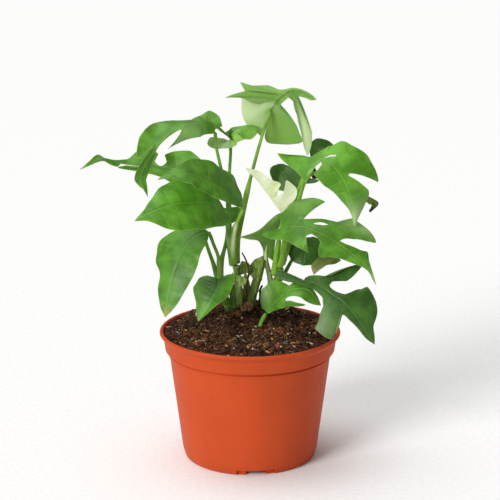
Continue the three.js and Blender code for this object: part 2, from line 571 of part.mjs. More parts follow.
function pot() {
  const outline = potOutline();
  outline.push(outline[0]);
  const turned = new THREE.LatheGeometry(outline.map(([r, z]) => new THREE.Vector2(r, z)), potSegments);
  turned.rotateX(Math.PI / 2);
  let solid = solidOf(turned);
  for (let k = 0; k < notchCount; k += 1) {
    const turn = notchTurn + (2 * Math.PI * k) / notchCount;
    solid = solid.subtract(footBlock(notchWidth, footRadius - 2, footRadius + 6, turn));
    solid = solid.subtract(footBlock(notchInnerWidth, footRadius - footWidth - 3, footRadius, turn));
  }
  for (let k = 0; k < drainCount; k += 1) {
    const turn = Math.PI / 4 + (2 * Math.PI * k) / drainCount;
    const hole = new THREE.CylinderGeometry(drainRadius, drainRadius, 8 * wall, 16);
    hole.rotateX(Math.PI / 2);
    hole.translate(drainCircle * Math.cos(turn), drainCircle * Math.sin(turn), floorLift + wall / 2);
    solid = solid.subtract(solidOf(hole));
  }
  return solid;
}

// soil

// Height of the soil at radius r: level at the wall, mounded to the middle, with low lumps and a
// hump under the stems, where the root ball stands up.
function soilHeight(r, turn) {
  const share = r / (rimRadius - 5);
  const lumps = 0.8 * Math.sin(3 * turn + r / 9) + 0.6 * Math.sin(5 * turn - r / 6);
  const off = Math.hypot(r * Math.cos(turn) - humpCentre[0], r * Math.sin(turn) - humpCentre[1]);
  const hump = humpHeight * Math.exp(-((off / humpReach) ** 2));
  const swell = lumps * Math.min(1, r / 20);
  return soilEdge + hump * (1 - share ** 8) + (soilMound + swell) * (1 - share ** 4);
}

function soil() {
  const step = potHeight - collarDrop;
  const collarInside = rimRadius - 6.5 - soilGap;
  const wallRadius = rimRadius - 4.6 - soilGap;
  const segments = 32;
  const turnOf = (j) => (2 * Math.PI * j) / segments;
  const ringAt = (r, heightOf) => Array.from({ length: segments }, (_, j) => new THREE.Vector3(
    r * Math.cos(turnOf(j)), r * Math.sin(turnOf(j)), heightOf(turnOf(j))));
  const rings = [
    ringAt(heelRadius - 0.6 - wall - soilGap, () => floorLift + wall + soilGap),
    ringAt(bodyTopRadius - wall - soilGap, () => step),
    ringAt(collarInside, () => step + 2),
  ];
  for (const share of [1, 0.82, 0.64, 0.46, 0.28, 0.12, 0.03]) {
    rings.push(ringAt(wallRadius * share, (turn) => soilHeight(wallRadius * share, turn)));
  }
  return solidOf(loft(rings));
}

// assembly

const plant = new THREE.Group();
plant.name = 'potted_mini_monstera';
const pieces = new THREE.Group();
plant.add(pieces);

function addNode(name, solid, color, roughness) {
  const material = new THREE.MeshStandardMaterial({ color, roughness, metalness: 0 });
  const mesh = new THREE.Mesh(geometryOf(solid), material);
  mesh.name = name;
  pieces.add(mesh);
}

// Woody and green rods first; each one stops just short of those already placed.
const placed = [];
function addRod(name, rod, color) {
  addNode(name, cut(tube(rod), placed), color, 0.6);
  placed.push(tube(rod, joinGap));
}

for (const [name, stem] of Object.entries(stems)) addRod(`stem_${name}`, stem, stemGreen);
for (const [name, root] of Object.entries(roots)) addRod(`root_${name}`, root, rootBrown);
for (const [name, leaf] of Object.entries(leaves)) {
  addRod(`stalk_${name}`, { path: leaf.stalk, foot: stalkRadiusFoot, top: stalkRadiusTop }, stalkGreen);
}

// Blades and scales next, clear of the rods and of each other.
for (const [name, leaf] of Object.entries(leaves)) {
  addNode(`leaf_${name}`, cut(blade(leaf), placed), leafGreens[leaf.tone], 0.5);
}
for (const [name, scale] of Object.entries(scales)) {
  addNode(`scale_${name}`, cut(blade(scale), placed), barkBrown, 0.8);
}

addNode('soil', cut(soil(), placed), soilBrown, 1);
addNode('pot', pot(), terracotta, 0.5);

// The origin is the bottom centre of the whole plant and pot.
const middle = new THREE.Box3().setFromObject(pieces).getCenter(new THREE.Vector3());
pieces.position.set(-middle.x, -middle.y, 0);

export default plant;
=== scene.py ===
# A potted mini monstera: split-leaf climber in a moulded nursery pot of peat.
# Shapes are laid out in millimetres from the pot's own axis, standing on z = 0.

import math

import bmesh
import bpy
import numpy as np
from mathutils import Matrix, Vector


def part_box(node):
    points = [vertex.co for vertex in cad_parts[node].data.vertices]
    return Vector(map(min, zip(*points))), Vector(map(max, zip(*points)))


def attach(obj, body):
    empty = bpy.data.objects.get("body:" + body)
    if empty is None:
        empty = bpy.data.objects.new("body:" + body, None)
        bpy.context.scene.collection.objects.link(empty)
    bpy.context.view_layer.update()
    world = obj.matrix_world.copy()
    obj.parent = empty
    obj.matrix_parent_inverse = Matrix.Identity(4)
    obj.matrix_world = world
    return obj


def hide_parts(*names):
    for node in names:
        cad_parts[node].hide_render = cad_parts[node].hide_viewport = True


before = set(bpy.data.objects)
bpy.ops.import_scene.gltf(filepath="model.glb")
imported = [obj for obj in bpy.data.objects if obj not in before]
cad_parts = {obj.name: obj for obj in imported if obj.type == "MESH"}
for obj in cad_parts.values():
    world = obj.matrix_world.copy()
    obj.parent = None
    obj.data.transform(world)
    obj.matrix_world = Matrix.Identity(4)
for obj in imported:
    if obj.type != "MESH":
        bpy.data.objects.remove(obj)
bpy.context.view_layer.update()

millimetre = 0.001
potLow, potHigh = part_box("pot")
seat = np.array([(potLow.x + potHigh.x) / 2, (potLow.y + potHigh.y) / 2, potLow.z])
potHeight = (potHigh.z - potLow.z) / millimetre
rimRadius = (potHigh.x - potLow.x) / 2 / millimetre

# where the random draws start: of ripples along the rims, of bits and fibres, lumps and damp patches
seeds = {"leaf": 40, "husk": 70, "dried": 80, "bit": 5, "fibre": 15, "lump": 20, "damp": 3}

viewSettings = {
    "distance": 1.400,      # metres from the lens to the middle of the view
    "pitch": 14.72,         # degrees down
    "lookHeight": 0.1874,   # metres above the floor
    "lens": 115.34,         # millimetres
    "sensor": 36,           # millimetres wide
    "farthest": 50,         # metres
}


def lookAt(item, place, target):
    # turns a camera or lamp at `place` so that it faces `target`
    item.location = place
    item.rotation_euler = (Vector(target) - Vector(place)).to_track_quat("-Z", "Y").to_euler()
    bpy.context.scene.collection.objects.link(item)


def addCamera():
    target = (seat[0], seat[1], viewSettings["lookHeight"])
    pitch = math.radians(viewSettings["pitch"])
    away = viewSettings["distance"]
    data = bpy.data.cameras.new("camera")
    data.lens = viewSettings["lens"]
    data.sensor_width = viewSettings["sensor"]
    data.clip_end = viewSettings["farthest"]
    camera = bpy.data.objects.new("camera", data)
    place = (target[0], target[1] - away * math.cos(pitch), target[2] + away * math.sin(pitch))
    lookAt(camera, place, target)
    bpy.context.scene.camera = camera


# large soft sources, far off: where each stands, how wide it looks in degrees, and its strength
lampTable = {
    "keyLight": {"place": (-1.15, -1.35, 1.05), "spread": 24, "strength": 2.4},
    "topLight": {"place": (-0.25, 0.20, 1.50), "spread": 50, "strength": 1.5},
}
lampAim = 0.16  # metres above the floor, where both of them point


def addLights():
    for name, lamp in lampTable.items():
        data = bpy.data.lights.new(name, "SUN")
        data.angle = math.radians(lamp["spread"])
        data.energy = lamp["strength"]
        lookAt(bpy.data.objects.new(name, data), lamp["place"], (seat[0], seat[1], lampAim))


def linear(hexColour):
    # an sRGB hex colour as linear RGBA
    parts = [int(hexColour[i:i + 2], 16) / 255 for i in (0, 2, 4)]
    return [p / 12.92 if p <= 0.04045 else ((p + 0.055) / 1.055) ** 2.4 for p in parts] + [1.0]


def addNode(tree, kind, inputs=None, out=0, **settings):
    # one shader node with its settings and links, handed back as one of its outputs, or as all of
    # them where out is None; an input is a value, or the socket that feeds it
    node = tree.nodes.new("ShaderNode" + kind)
    for name, value in settings.items():
        setattr(node, name, value)
    for key, value in (inputs or {}).items():
        if isinstance(value, bpy.types.NodeSocket):
            tree.links.new(value, node.inputs[key])
        else:
            node.inputs[key].default_value = value
    return node.outputs if out is None else node.outputs[out]


def newMaterial(name):
    # a material, its empty node tree, and the object's own coordinates
    material = bpy.data.materials.new(name)
    material.use_nodes = True
    tree = material.node_tree
    tree.nodes.clear()
    return material, tree, addNode(tree, "TexCoord", out="Object")


def mottles(tree, place, table):
    # cloudy fields from 0 to 1; each row gives mm across, detail, and where the field starts and ends
    fields = []
    for size, detail, start, end in table:
        inputs = {"Vector": place, "Scale": 1 / (size * millimetre), "Detail": detail}
        ends = {0: addNode(tree, "TexNoise", inputs), 1: start, 2: end}
        fields.append(addNode(tree, "MapRange", ends, interpolation_type="SMOOTHSTEP"))
    return fields


def painted(tree, colour, layers):
    # tints laid over a colour one after another, each through its own mask at its own strength
    for mask, strength, tint in layers:
        share = addNode(tree, "Math", {0: mask, 1: strength}, operation="MULTIPLY")
        tint = linear(tint) if isinstance(tint, str) else tint
        colour = addNode(tree, "Mix", {0: share, 6: colour, 7: tint}, out=2, data_type="RGBA")
    return colour


def relief(tree, layers):
    # a surface raised by each field times its height in mm
    height = 0.0
    for field, tall in layers:
        height = addNode(tree, "Math", {0: field, 1: tall, 2: height}, operation="MULTIPLY_ADD")
    return addNode(tree, "Bump", {"Height": height, "Distance": millimetre})


def finishMaterial(tree, colour, roughness, normal, **constants):
    # one Principled shader and the output; constants go straight onto the shader's own sockets
    inputs = {"Base Color": colour, "Roughness": roughness, "Normal": normal}
    for name, value in constants.items():
        inputs[name.replace("_", " ")] = value
    addNode(tree, "OutputMaterial", {"Surface": addNode(tree, "BsdfPrincipled", inputs)}, out=None)


greenDepth = (0.6, 1.0, 0.15)   # how far red, green and blue light travel in living tissue, as shares

# Living leaf: waxy cuticle over green tissue. Two greens cloud into each other, the veins show
# faintly, the rim is a thin light line, and the underside is duller than the softly glossy top.
leafTones = {
    "bright": {"deep": "3f7014", "light": "5a9429", "vein": "84ad4c", "under": "7aa551", "rim": "8fae52"},
    "deep": {"deep": "2e5017", "light": "45702a", "vein": "64884a", "under": "527a38", "rim": "6d8a45"},
    "lit": {"deep": "487f18", "light": "66a42e", "vein": "8fb858", "under": "84ae58", "rim": "98b85a"},
    "pale": {"deep": "4b8a2c", "light": "6aa544", "vein": "5f8c3c", "under": "7da64c", "rim": "9cba66"},
    # young: a new leaf's pale green, lightened almost to white as a painted glow of light through it
    "young": {"deep": "d6e6a4", "light": "eff6d6", "vein": "f4f9e4", "under": "eef5d8", "rim": "d2e29a"},
    "olive": {"deep": "4c5a20", "light": "6b7a34", "vein": "8a9450", "under": "727e40", "rim": "5d4422"},
    # backlit: a lighter green, painted light shining through the blade
    "backlit": {"deep": "4f8a1c", "light": "7db238", "vein": "9dc45e", "under": "93b969", "rim": "a3c25c"},
}
leafFinish = {
    "cloud": (15, 4, 0.36, 0.66),   # darker and lighter clouds: mm across, detail, start, end
    "grain": (1.1, 3, 0.25, 0.75),  # fine grain of the skin, in the same terms
    "cellSize": 2.4,        # mm, the net of the finest veins, drawn coarser than life so that it shows
    "ribWidth": 0.5,        # mm from the middle of the midrib to its edge
    "veinWidth": 0.4,       # mm from the middle of a side vein to its edge
    "rimWidth": 0.7,        # mm from the rim to where its light line has gone
    "netHigh": -0.04,       # mm that the net, the side veins and the grain stand out
    "veinHigh": -0.07,
    "grainHigh": 0.05,
    "roughTop": 0.36,
    "roughUnder": 0.60,
    "roughGrain": 0.08,     # how much the grain adds to either
    "tipRagged": 0.12,      # how far a withered tip's edge wanders, and how softly it fades, both as
    "tipFade": 0.14,        # shares of the blade's length
    "pale": "c3dba3",       # painted light: where a blade catches more light or a sheen
    "paintedShade": "24480f",     # painted shade: where a blade lies in shade
}
# painted light: leaves given a lighter green than that of their slot, where more light falls on them
paintedLightTones = {"domed": "bright", "far_left": "bright", "inner_left": "bright", "heart": "lit",
            "upper_right": "lit", "small_middle": "backlit"}
# withered tips: the station where they start, and their colour
leafTips = {"brown_tip": (0.72, "3a1d14"), "drooping": (0.97, "a9a050"), "olive": (0.80, "8a7a3a")}


def leafMaterial(name, tone, tip):
    look = leafFinish
    material, tree, place = newMaterial(name)
    colours = {key: linear(value) for key, value in leafTones[tone].items()}
    carried = [addNode(tree, "Attribute", out="Vector", attribute_name=key)
               for key in ("leafPlace", "leafVein")]
    station, ribGap, rimGap = addNode(tree, "SeparateXYZ", {0: carried[0]}, out=None)
    phase, veinGap, upper = addNode(tree, "SeparateXYZ", {0: carried[1]}, out=None)
    patch = addNode(tree, "Attribute", out="Fac", attribute_name="leafPaintedLight")
    cloud, grain = mottles(tree, place, [look["cloud"], look["grain"]])
    scale = 1 / (look["cellSize"] * millimetre)
    net = addNode(tree, "TexVoronoi", {"Vector": place, "Scale": scale}, feature="DISTANCE_TO_EDGE")

    # side veins lie where the phase is a whole number; the gap between them turns that into mm
    near = addNode(tree, "Math", {0: phase, 1: 0.5}, operation="PINGPONG")
    fromVein = addNode(tree, "Math", {0: near, 1: veinGap}, operation="MULTIPLY")

    # each mask rises from 0 to 1 between two values of its field
    rib, vein, rim = look["ribWidth"], look["veinWidth"], look["rimWidth"]
    masks = {
        "net": (net, 0.14, 0.02),
        "beside": (fromVein, 5 * vein, 0.0),
        "vein": (fromVein, 1.6 * vein, 0.3 * vein),
        "rib": (ribGap, 1.6 * rib, 0.5 * rib),
        "besideRib": (ribGap, 7 * rib, 0.0),
        "rim": (rimGap, rim, 0.12),
        "pale": (patch, 0.0, 1.0),
        "paintedShade": (patch, 0.0, -1.0),
    }
    for key, (field, start, end) in masks.items():
        ends = {0: field, 1: start, 2: end}
        masks[key] = addNode(tree, "MapRange", ends, interpolation_type="SMOOTHSTEP")

    top = painted(tree, colours["deep"], [
        (cloud, 1.0, colours["light"]), (masks["beside"], 0.14, colours["light"]),
        (masks["vein"], 0.10, colours["vein"]), (masks["net"], 0.06, colours["vein"]),
        (masks["besideRib"], 0.30, colours["deep"]), (masks["rib"], 0.38, colours["vein"])])
    under = painted(tree, colours["under"], [
        (cloud, 0.35, colours["light"]), (masks["vein"], 0.40, colours["vein"]),
        (masks["net"], 0.10, colours["vein"])])
    sides = painted(tree, under, [(upper, 1.0, top)])
    # painted light and painted shade from the patches, then the rim line
    layers = [(masks["pale"], 1.0, look["pale"]), (masks["paintedShade"], 1.0, look["paintedShade"]),
              (masks["rim"], 0.40, colours["rim"])]
    if tip:
        start, tint = tip
        spread = {0: cloud, 1: look["tipRagged"], 2: station}
        ragged = addNode(tree, "Math", spread, operation="MULTIPLY_ADD")
        withered = addNode(tree, "MapRange", {0: ragged, 1: start, 2: start + look["tipFade"]})
        layers.append((withered, 1.0, tint))
    colour = painted(tree, sides, layers)

    plain = addNode(tree, "MapRange", {0: upper, 3: look["roughUnder"], 4: look["roughTop"]})
    rough = {0: grain, 1: look["roughGrain"], 2: plain}
    roughness = addNode(tree, "Math", rough, operation="MULTIPLY_ADD")
    normal = relief(tree, [(masks["net"], look["netHigh"]), (masks["vein"], look["veinHigh"]),
                           (grain, look["grainHigh"])])
    finishMaterial(tree, colour, roughness, normal, Subsurface_Weight=0.10, Subsurface_Scale=0.003,
                   Subsurface_Radius=greenDepth, Specular_IOR_Level=0.32)
    return material


# Leaf stalk: smooth green skin with lengthwise streaks; the sheath that wrapped the next leaf is
# pale inside, and one thin edge of it has dried to orange brown.
stalkFinish = {
    "deep": "4a8016", "light": "86b438", "cream": "d9e4b2", "dried": "a5623a",
    "streak": (0.7, 2, 0.35, 0.65),     # mm across, detail, start, end
    "cloud": (16, 3, 0.35, 0.70),
    "drawnOut": 0.08,       # how fast the streaks change upright, as a share of how fast across
    "driedFrom": (0.50, 0.90),  # share of the wing where the dried edge starts, and where it is whole
    "rough": (0.38, 0.50),  # between streaks, and on them
    "streakHigh": 0.08,     # mm
}


def stalkMaterial():
    look = stalkFinish
    material, tree, place = newMaterial("petioleSkin")
    carried = addNode(tree, "Attribute", out="Vector", attribute_name="stalkPlace")
    share, wing, cream = addNode(tree, "SeparateXYZ", {0: carried}, out=None)
    long = addNode(tree, "Mapping", {"Vector": place, "Scale": (1.0, 1.0, look["drawnOut"])})
    streak, = mottles(tree, long, [look["streak"]])
    cloud, = mottles(tree, place, [look["cloud"]])
    ends = {0: wing, 1: look["driedFrom"][0], 2: look["driedFrom"][1]}
    edge = addNode(tree, "MapRange", ends, interpolation_type="SMOOTHSTEP")
    colour = painted(tree, linear(look["deep"]), [
        (cloud, 1.0, look["light"]), (streak, 0.35, look["light"]), (share, 0.30, look["light"]),
        (cream, 1.0, look["cream"]), (edge, 1.0, look["dried"])])
    roughness = addNode(tree, "MapRange", {0: streak, 3: look["rough"][0], 4: look["rough"][1]})
    normal = relief(tree, [(streak, look["streakHigh"])])
    finishMaterial(tree, colour, roughness, normal, Subsurface_Weight=0.08,
                   Subsurface_Scale=0.003, Subsurface_Radius=greenDepth, Specular_IOR_Level=0.32)
    return material


# Stem: green skin going corky towards the soil, ringed with the faint tan scars of old leaves.
stemFinish = {
    "deep": "4a7a20", "light": "7aa540", "corky": "5f5228", "scar": "98904e",
    "corkyTo": 0.28,        # share of the stem's length
    "cloud": (5, 4, 0.35, 0.65), "grain": (0.8, 3, 0.30, 0.70),
    "cloudHigh": 0.12, "grainHigh": 0.17,   # mm
    "rough": (0.45, 0.65),
}


def stemMaterial():
    look = stemFinish
    material, tree, place = newMaterial("stemBark")
    carried = addNode(tree, "Attribute", out="Vector", attribute_name="stalkPlace")
    share, scar = addNode(tree, "SeparateXYZ", {0: carried}, out=None)[:2]
    cloud, grain = mottles(tree, place, [look["cloud"], look["grain"]])
    ends = {0: share, 1: look["corkyTo"], 2: 0.0}
    corky = addNode(tree, "MapRange", ends, interpolation_type="SMOOTHSTEP")
    colour = painted(tree, linear(look["deep"]), [
        (cloud, 1.0, look["light"]), (corky, 0.60, look["corky"]), (scar, 0.35, look["scar"])])
    roughness = addNode(tree, "MapRange", {0: grain, 3: look["rough"][0], 4: look["rough"][1]})
    normal = relief(tree, [(cloud, look["cloudHigh"]), (grain, look["grainHigh"])])
    finishMaterial(tree, colour, roughness, normal, Specular_IOR_Level=0.35)
    return material


# Husks and roots: lengthwise fibres, streaked from dark to light, matt. Husks are browned along the
# rim, and roots all over. One row each: dark, light, mm between the fibres.
fibreTones = {
    "right": ("567428", "86a04c", 1.6), "middle": ("6c8c38", "9ab468", 1.6),
    "left": ("456c22", "678f38", 1.6), "inner": ("5a8c2c", "8ab652", 1.6),
    "round": ("4e6a24", "78883c", 1.6), "papery": ("5e4026", "9c7a52", 1.6),
    "dried": ("24120d", "54301f", 1.2), "root": ("2a1a12", "5c402c", 1.2),
}
fibreFinish = {
    "drawnOut": 0.25,
    "rim": "4a3018", "rimWidth": 1.3,       # mm
    "fibreHigh": 0.20, "grainHigh": 0.12,   # mm
    "rough": (0.60, 0.80),
}


def fibreMaterial(name):
    look = fibreFinish
    dark, light, size = fibreTones[name]
    material, tree, place = newMaterial("plantFibre_" + name)
    long = addNode(tree, "Mapping", {"Vector": place, "Scale": (1.0, 1.0, look["drawnOut"])})
    fibre, = mottles(tree, long, [(size, 4, 0.35, 0.65)])
    grain, = mottles(tree, place, [(0.6, 2, 0.30, 0.70)])
    carried = addNode(tree, "Attribute", out="Vector", attribute_name="leafPlace")
    rimGap = addNode(tree, "SeparateXYZ", {0: carried}, out=2)
    ends = {0: rimGap, 1: look["rimWidth"], 2: 0.2}
    rim = addNode(tree, "MapRange", ends, interpolation_type="SMOOTHSTEP")
    colour = painted(tree, linear(dark), [(fibre, 1.0, light), (rim, 0.6, look["rim"])])
    roughness = addNode(tree, "MapRange", {0: grain, 3: look["rough"][0], 4: look["rough"][1]})
    normal = relief(tree, [(fibre, look["fibreHigh"]), (grain, look["grainHigh"])])
    finishMaterial(tree, colour, roughness, normal, Specular_IOR_Level=0.3)
    return material


# Injection-moulded polypropylene, pigmented terracotta: satin, with a barely clouded colour,
# faint upright flow streaks, a fine orange-peel skin, a few level scuffs, dust towards the foot, the
# inside of the lip darkened by painted shade, and soil dust along its top.
potFinish = {
    "colour": "c24b22", "shade": "ba4820", "scuff": "d2683c", "dust": "b87350",
    # damp: painted shade on the inside of the lip
    "damp": "8a2812", "lipDust": "8f5f4a",
    "cloud": (45, 2, 0.35, 0.65), "peel": (0.9, 2, 0.2, 0.8), "grit": (1.6, 4, 0.50, 0.75),
    "flow": (6, 3, 0.35, 0.70), "scratch": (1.3, 5, 0.69, 0.76),    # mm across, detail, start, end
    "dustTop": 0.045,       # metres above the floor, where the dust gives out
    "peelHigh": 0.025, "flowHigh": 0.03,    # mm
    "rough": 0.50, "roughFlow": 0.07,
}


def potMaterial():
    look = potFinish
    material, tree, place = newMaterial("mouldedPolypropylene")
    upright = addNode(tree, "Mapping", {"Vector": place, "Scale": (1.0, 1.0, 0.10)})
    level = addNode(tree, "Mapping", {"Vector": place, "Scale": (0.12, 0.12, 1.6)})
    cloud, peel, grit = mottles(tree, place, [look["cloud"], look["peel"], look["grit"]])
    flow, = mottles(tree, upright, [look["flow"]])
    scratch, = mottles(tree, level, [look["scratch"]])
    ends = {0: addNode(tree, "SeparateXYZ", {0: place}, out=2), 1: look["dustTop"], 2: 0.002}
    low = addNode(tree, "MapRange", ends, interpolation_type="SMOOTHSTEP")
    dusty = addNode(tree, "Math", {0: low, 1: grit}, operation="MULTIPLY")
    carried = addNode(tree, "Attribute", out="Vector", attribute_name="potPlace")
    inside, lipTop = addNode(tree, "SeparateXYZ", {0: carried}, out=None)[:2]
    lipDust = addNode(tree, "Math", {0: lipTop, 1: cloud}, operation="MULTIPLY")
    # the inside of the lip gets a painted shade
    colour = painted(tree, linear(look["shade"]), [
        (cloud, 1.0, look["colour"]), (flow, 0.20, look["shade"]), (scratch, 0.25, look["scuff"]),
        (dusty, 0.35, look["dust"]), (inside, 0.85, look["damp"]), (lipDust, 0.90, look["lipDust"])])
    rough = {0: flow, 1: look["roughFlow"], 2: look["rough"]}
    roughness = addNode(tree, "Math", rough, operation="MULTIPLY_ADD")
    normal = relief(tree, [(peel, look["peelHigh"]), (flow, look["flowHigh"])])
    finishMaterial(tree, colour, roughness, normal, Subsurface_Weight=0.05, Subsurface_Scale=0.002,
                   Subsurface_Radius=(1.0, 0.4, 0.2), Specular_IOR_Level=0.12)
    return material


# Moist peat: almost black fibre with red-brown grains, which are a little less matt than the rest.
soilFinish = {
    "black": "150c07", "brown": "3a2013", "grain": "6b3f24",
    "clods": (4, 4, 0.35, 0.65), "grains": (1.2, 4, 0.30, 0.70),
    "clodHigh": 0.9, "grainHigh": 0.8,  # mm
    "rough": (0.90, 0.60),
}


def soilMaterial():
    look = soilFinish
    material, tree, place = newMaterial("moistPeat")
    clods, grains = mottles(tree, place, [look["clods"], look["grains"]])
    colour = painted(tree, linear(look["black"]), [
        (clods, 1.0, look["brown"]), (grains, 0.45, look["grain"])])
    roughness = addNode(tree, "MapRange", {0: grains, 3: look["rough"][0], 4: look["rough"][1]})
    normal = relief(tree, [(clods, look["clodHigh"]), (grains, look["grainHigh"])])
    finishMaterial(tree, colour, roughness, normal, Specular_IOR_Level=0.35)
    return material


# Loose bits in the peat: each bit has a tint of its own between two colours, and is speckled
# darker, from specks of `size` mm that stand out by `depth` mm.
def bitMaterial(name, dark, light, size, depth, rough):
    material, tree, place = newMaterial(name)
    tint = addNode(tree, "Attribute", out="Fac", attribute_name="tint")
    speckle, = mottles(tree, place, [(size, 3, 0.30, 0.70)])
    colour = painted(tree, linear(dark), [(tint, 1.0, light), (speckle, 0.35, dark)])
    finishMaterial(tree, colour, rough, relief(tree, [(speckle, depth)]), Specular_IOR_Level=0.35)
    return material


def unit(vectors):
    return vectors / np.maximum(np.linalg.norm(vectors, axis=-1, keepdims=True), 1e-9)


def through(points, t):
    # a smooth curve through evenly spaced points: uniform Catmull-Rom, its ends run on straight
    points = np.asarray(points, float)
    last = len(points) - 1
    padded = np.vstack([2 * points[0] - points[1], points, 2 * points[-1] - points[-2]])
    u = np.clip(t, 0, 1) * last
    i = np.minimum(u.astype(int), last - 1)
    f = (u - i)[:, None]
    a, b, c, d = padded[i], padded[i + 1], padded[i + 2], padded[i + 3]
    return 0.5 * (2 * b + (c - a) * f + (2 * a - 5 * b + 4 * c - d) * f ** 2
                  + (3 * b - a - 3 * c + d) * f ** 3)


def eased(rows, percent):
    # margin rows eased between stations without overshoot: cubic Hermite whose slope is the weighted
    # harmonic mean of the slopes beside each row, or level where they turn
    x, y = rows[:, 0], rows[:, 1:]
    step = np.diff(x)[:, None]
    slope = np.diff(y, axis=0) / step
    before, after = step[:-1], step[1:]
    wa, wb = 2 * after + before, after + 2 * before
    turning = slope[:-1] * slope[1:] <= 0
    safe = np.where(turning, 1.0, slope[:-1]), np.where(turning, 1.0, slope[1:])
    middle = np.where(turning, 0.0, (wa + wb) / (wa / safe[0] + wb / safe[1]))
    tangent = np.vstack([slope[:1], middle, slope[-1:]])
    i = np.clip(np.searchsorted(x, percent, side="right") - 1, 0, len(x) - 2)
    h = step[i]
    t = (percent - x[i])[:, None] / h
    return ((2 * t ** 3 - 3 * t ** 2 + 1) * y[i] + (t ** 3 - 2 * t ** 2 + t) * h * tangent[i]
            + (3 * t ** 2 - 2 * t ** 3) * y[i + 1] + (t ** 3 - t ** 2) * h * tangent[i + 1])


def hills(x, y, size, seed, wide=128):
    # smooth random ground: random heights on a lattice of `size` mm, eased between its corners; the
    # lattice repeats after `wide` steps
    heights = np.random.default_rng(seed).uniform(-1, 1, (wide, wide))
    u, v = x / size, y / size
    i, j = np.floor(u).astype(int), np.floor(v).astype(int)
    f, g = u - i, v - j
    f, g = f * f * (3 - 2 * f), g * g * (3 - 2 * g)
    near = heights[i % wide, j % wide] * (1 - f) + heights[(i + 1) % wide, j % wide] * f
    far = heights[i % wide, (j + 1) % wide] * (1 - f) + heights[(i + 1) % wide, (j + 1) % wide] * f
    return near * (1 - g) + far * g


def ringFaces(count, around, joined=False):
    # quads between rings that lie one after another; joined wraps the last ring to the first,
    # otherwise strips of quads close the first and last ring
    i, j = np.meshgrid(np.arange(count if joined else count - 1), np.arange(around), indexing="ij")
    k, n = (j + 1) % around, (i + 1) % count
    faces = np.stack([i * around + j, i * around + k, n * around + k, n * around + j], -1)
    faces = faces.reshape(-1, 4)
    if joined:
        return faces
    j = np.arange(around // 2 - 1)
    far = around - 1 - j
    end = (count - 1) * around
    start = np.stack([far, far - 1, j + 1, j], -1)
    stop = np.stack([end + j, end + j + 1, end + far - 1, end + far], -1)
    return np.vstack([faces, start, stop])


def makePiece(name, points, faces, material, nodes, carried=None, sharp=None):
    # a closed mesh from arrays in mm; turned right way out by the sign of its volume
    points = np.asarray(points, float).reshape(-1, 3)
    used, faces = np.unique(faces, return_inverse=True)
    faces = faces.reshape(-1, 4)
    points = points[used]
    a, b, c, d = (points[faces[:, k]] for k in range(4))
    volume = np.sum(a * np.cross(b, c)) + np.sum(a * np.cross(c, d))
    if volume < 0:
        faces = faces[:, ::-1]
    mesh = bpy.data.meshes.new(name)
    mesh.vertices.add(len(points))
    mesh.vertices.foreach_set("co", (points * millimetre + seat).astype(np.float32).ravel())
    mesh.loops.add(faces.size)
    mesh.loops.foreach_set("vertex_index", faces.astype(np.int32).ravel())
    mesh.polygons.add(len(faces))
    mesh.polygons.foreach_set("loop_start", np.arange(0, faces.size, 4, dtype=np.int32))
    mesh.polygons.foreach_set("use_smooth", np.ones(len(faces), bool))
    mesh.update(calc_edges=True)
    for label, values in (carried or {}).items():
        values = np.asarray(values, np.float32)
        if values.ndim > 1 and values.shape[-1] == 3:
            values = values.reshape(-1, 3)[used]
            mesh.attributes.new(label, "FLOAT_VECTOR", "POINT").data.foreach_set("vector", values.ravel())
        else:
            values = values.reshape(-1)[used]
            mesh.attributes.new(label, "FLOAT", "POINT").data.foreach_set("value", values)
    if sharp:
        mesh.set_sharp_from_angle(angle=math.radians(sharp))
    mesh.materials.append(material)
    piece = bpy.data.objects.new(name, mesh)
    bpy.context.scene.collection.objects.link(piece)
    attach(piece, "root")
    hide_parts(*nodes)
    return piece


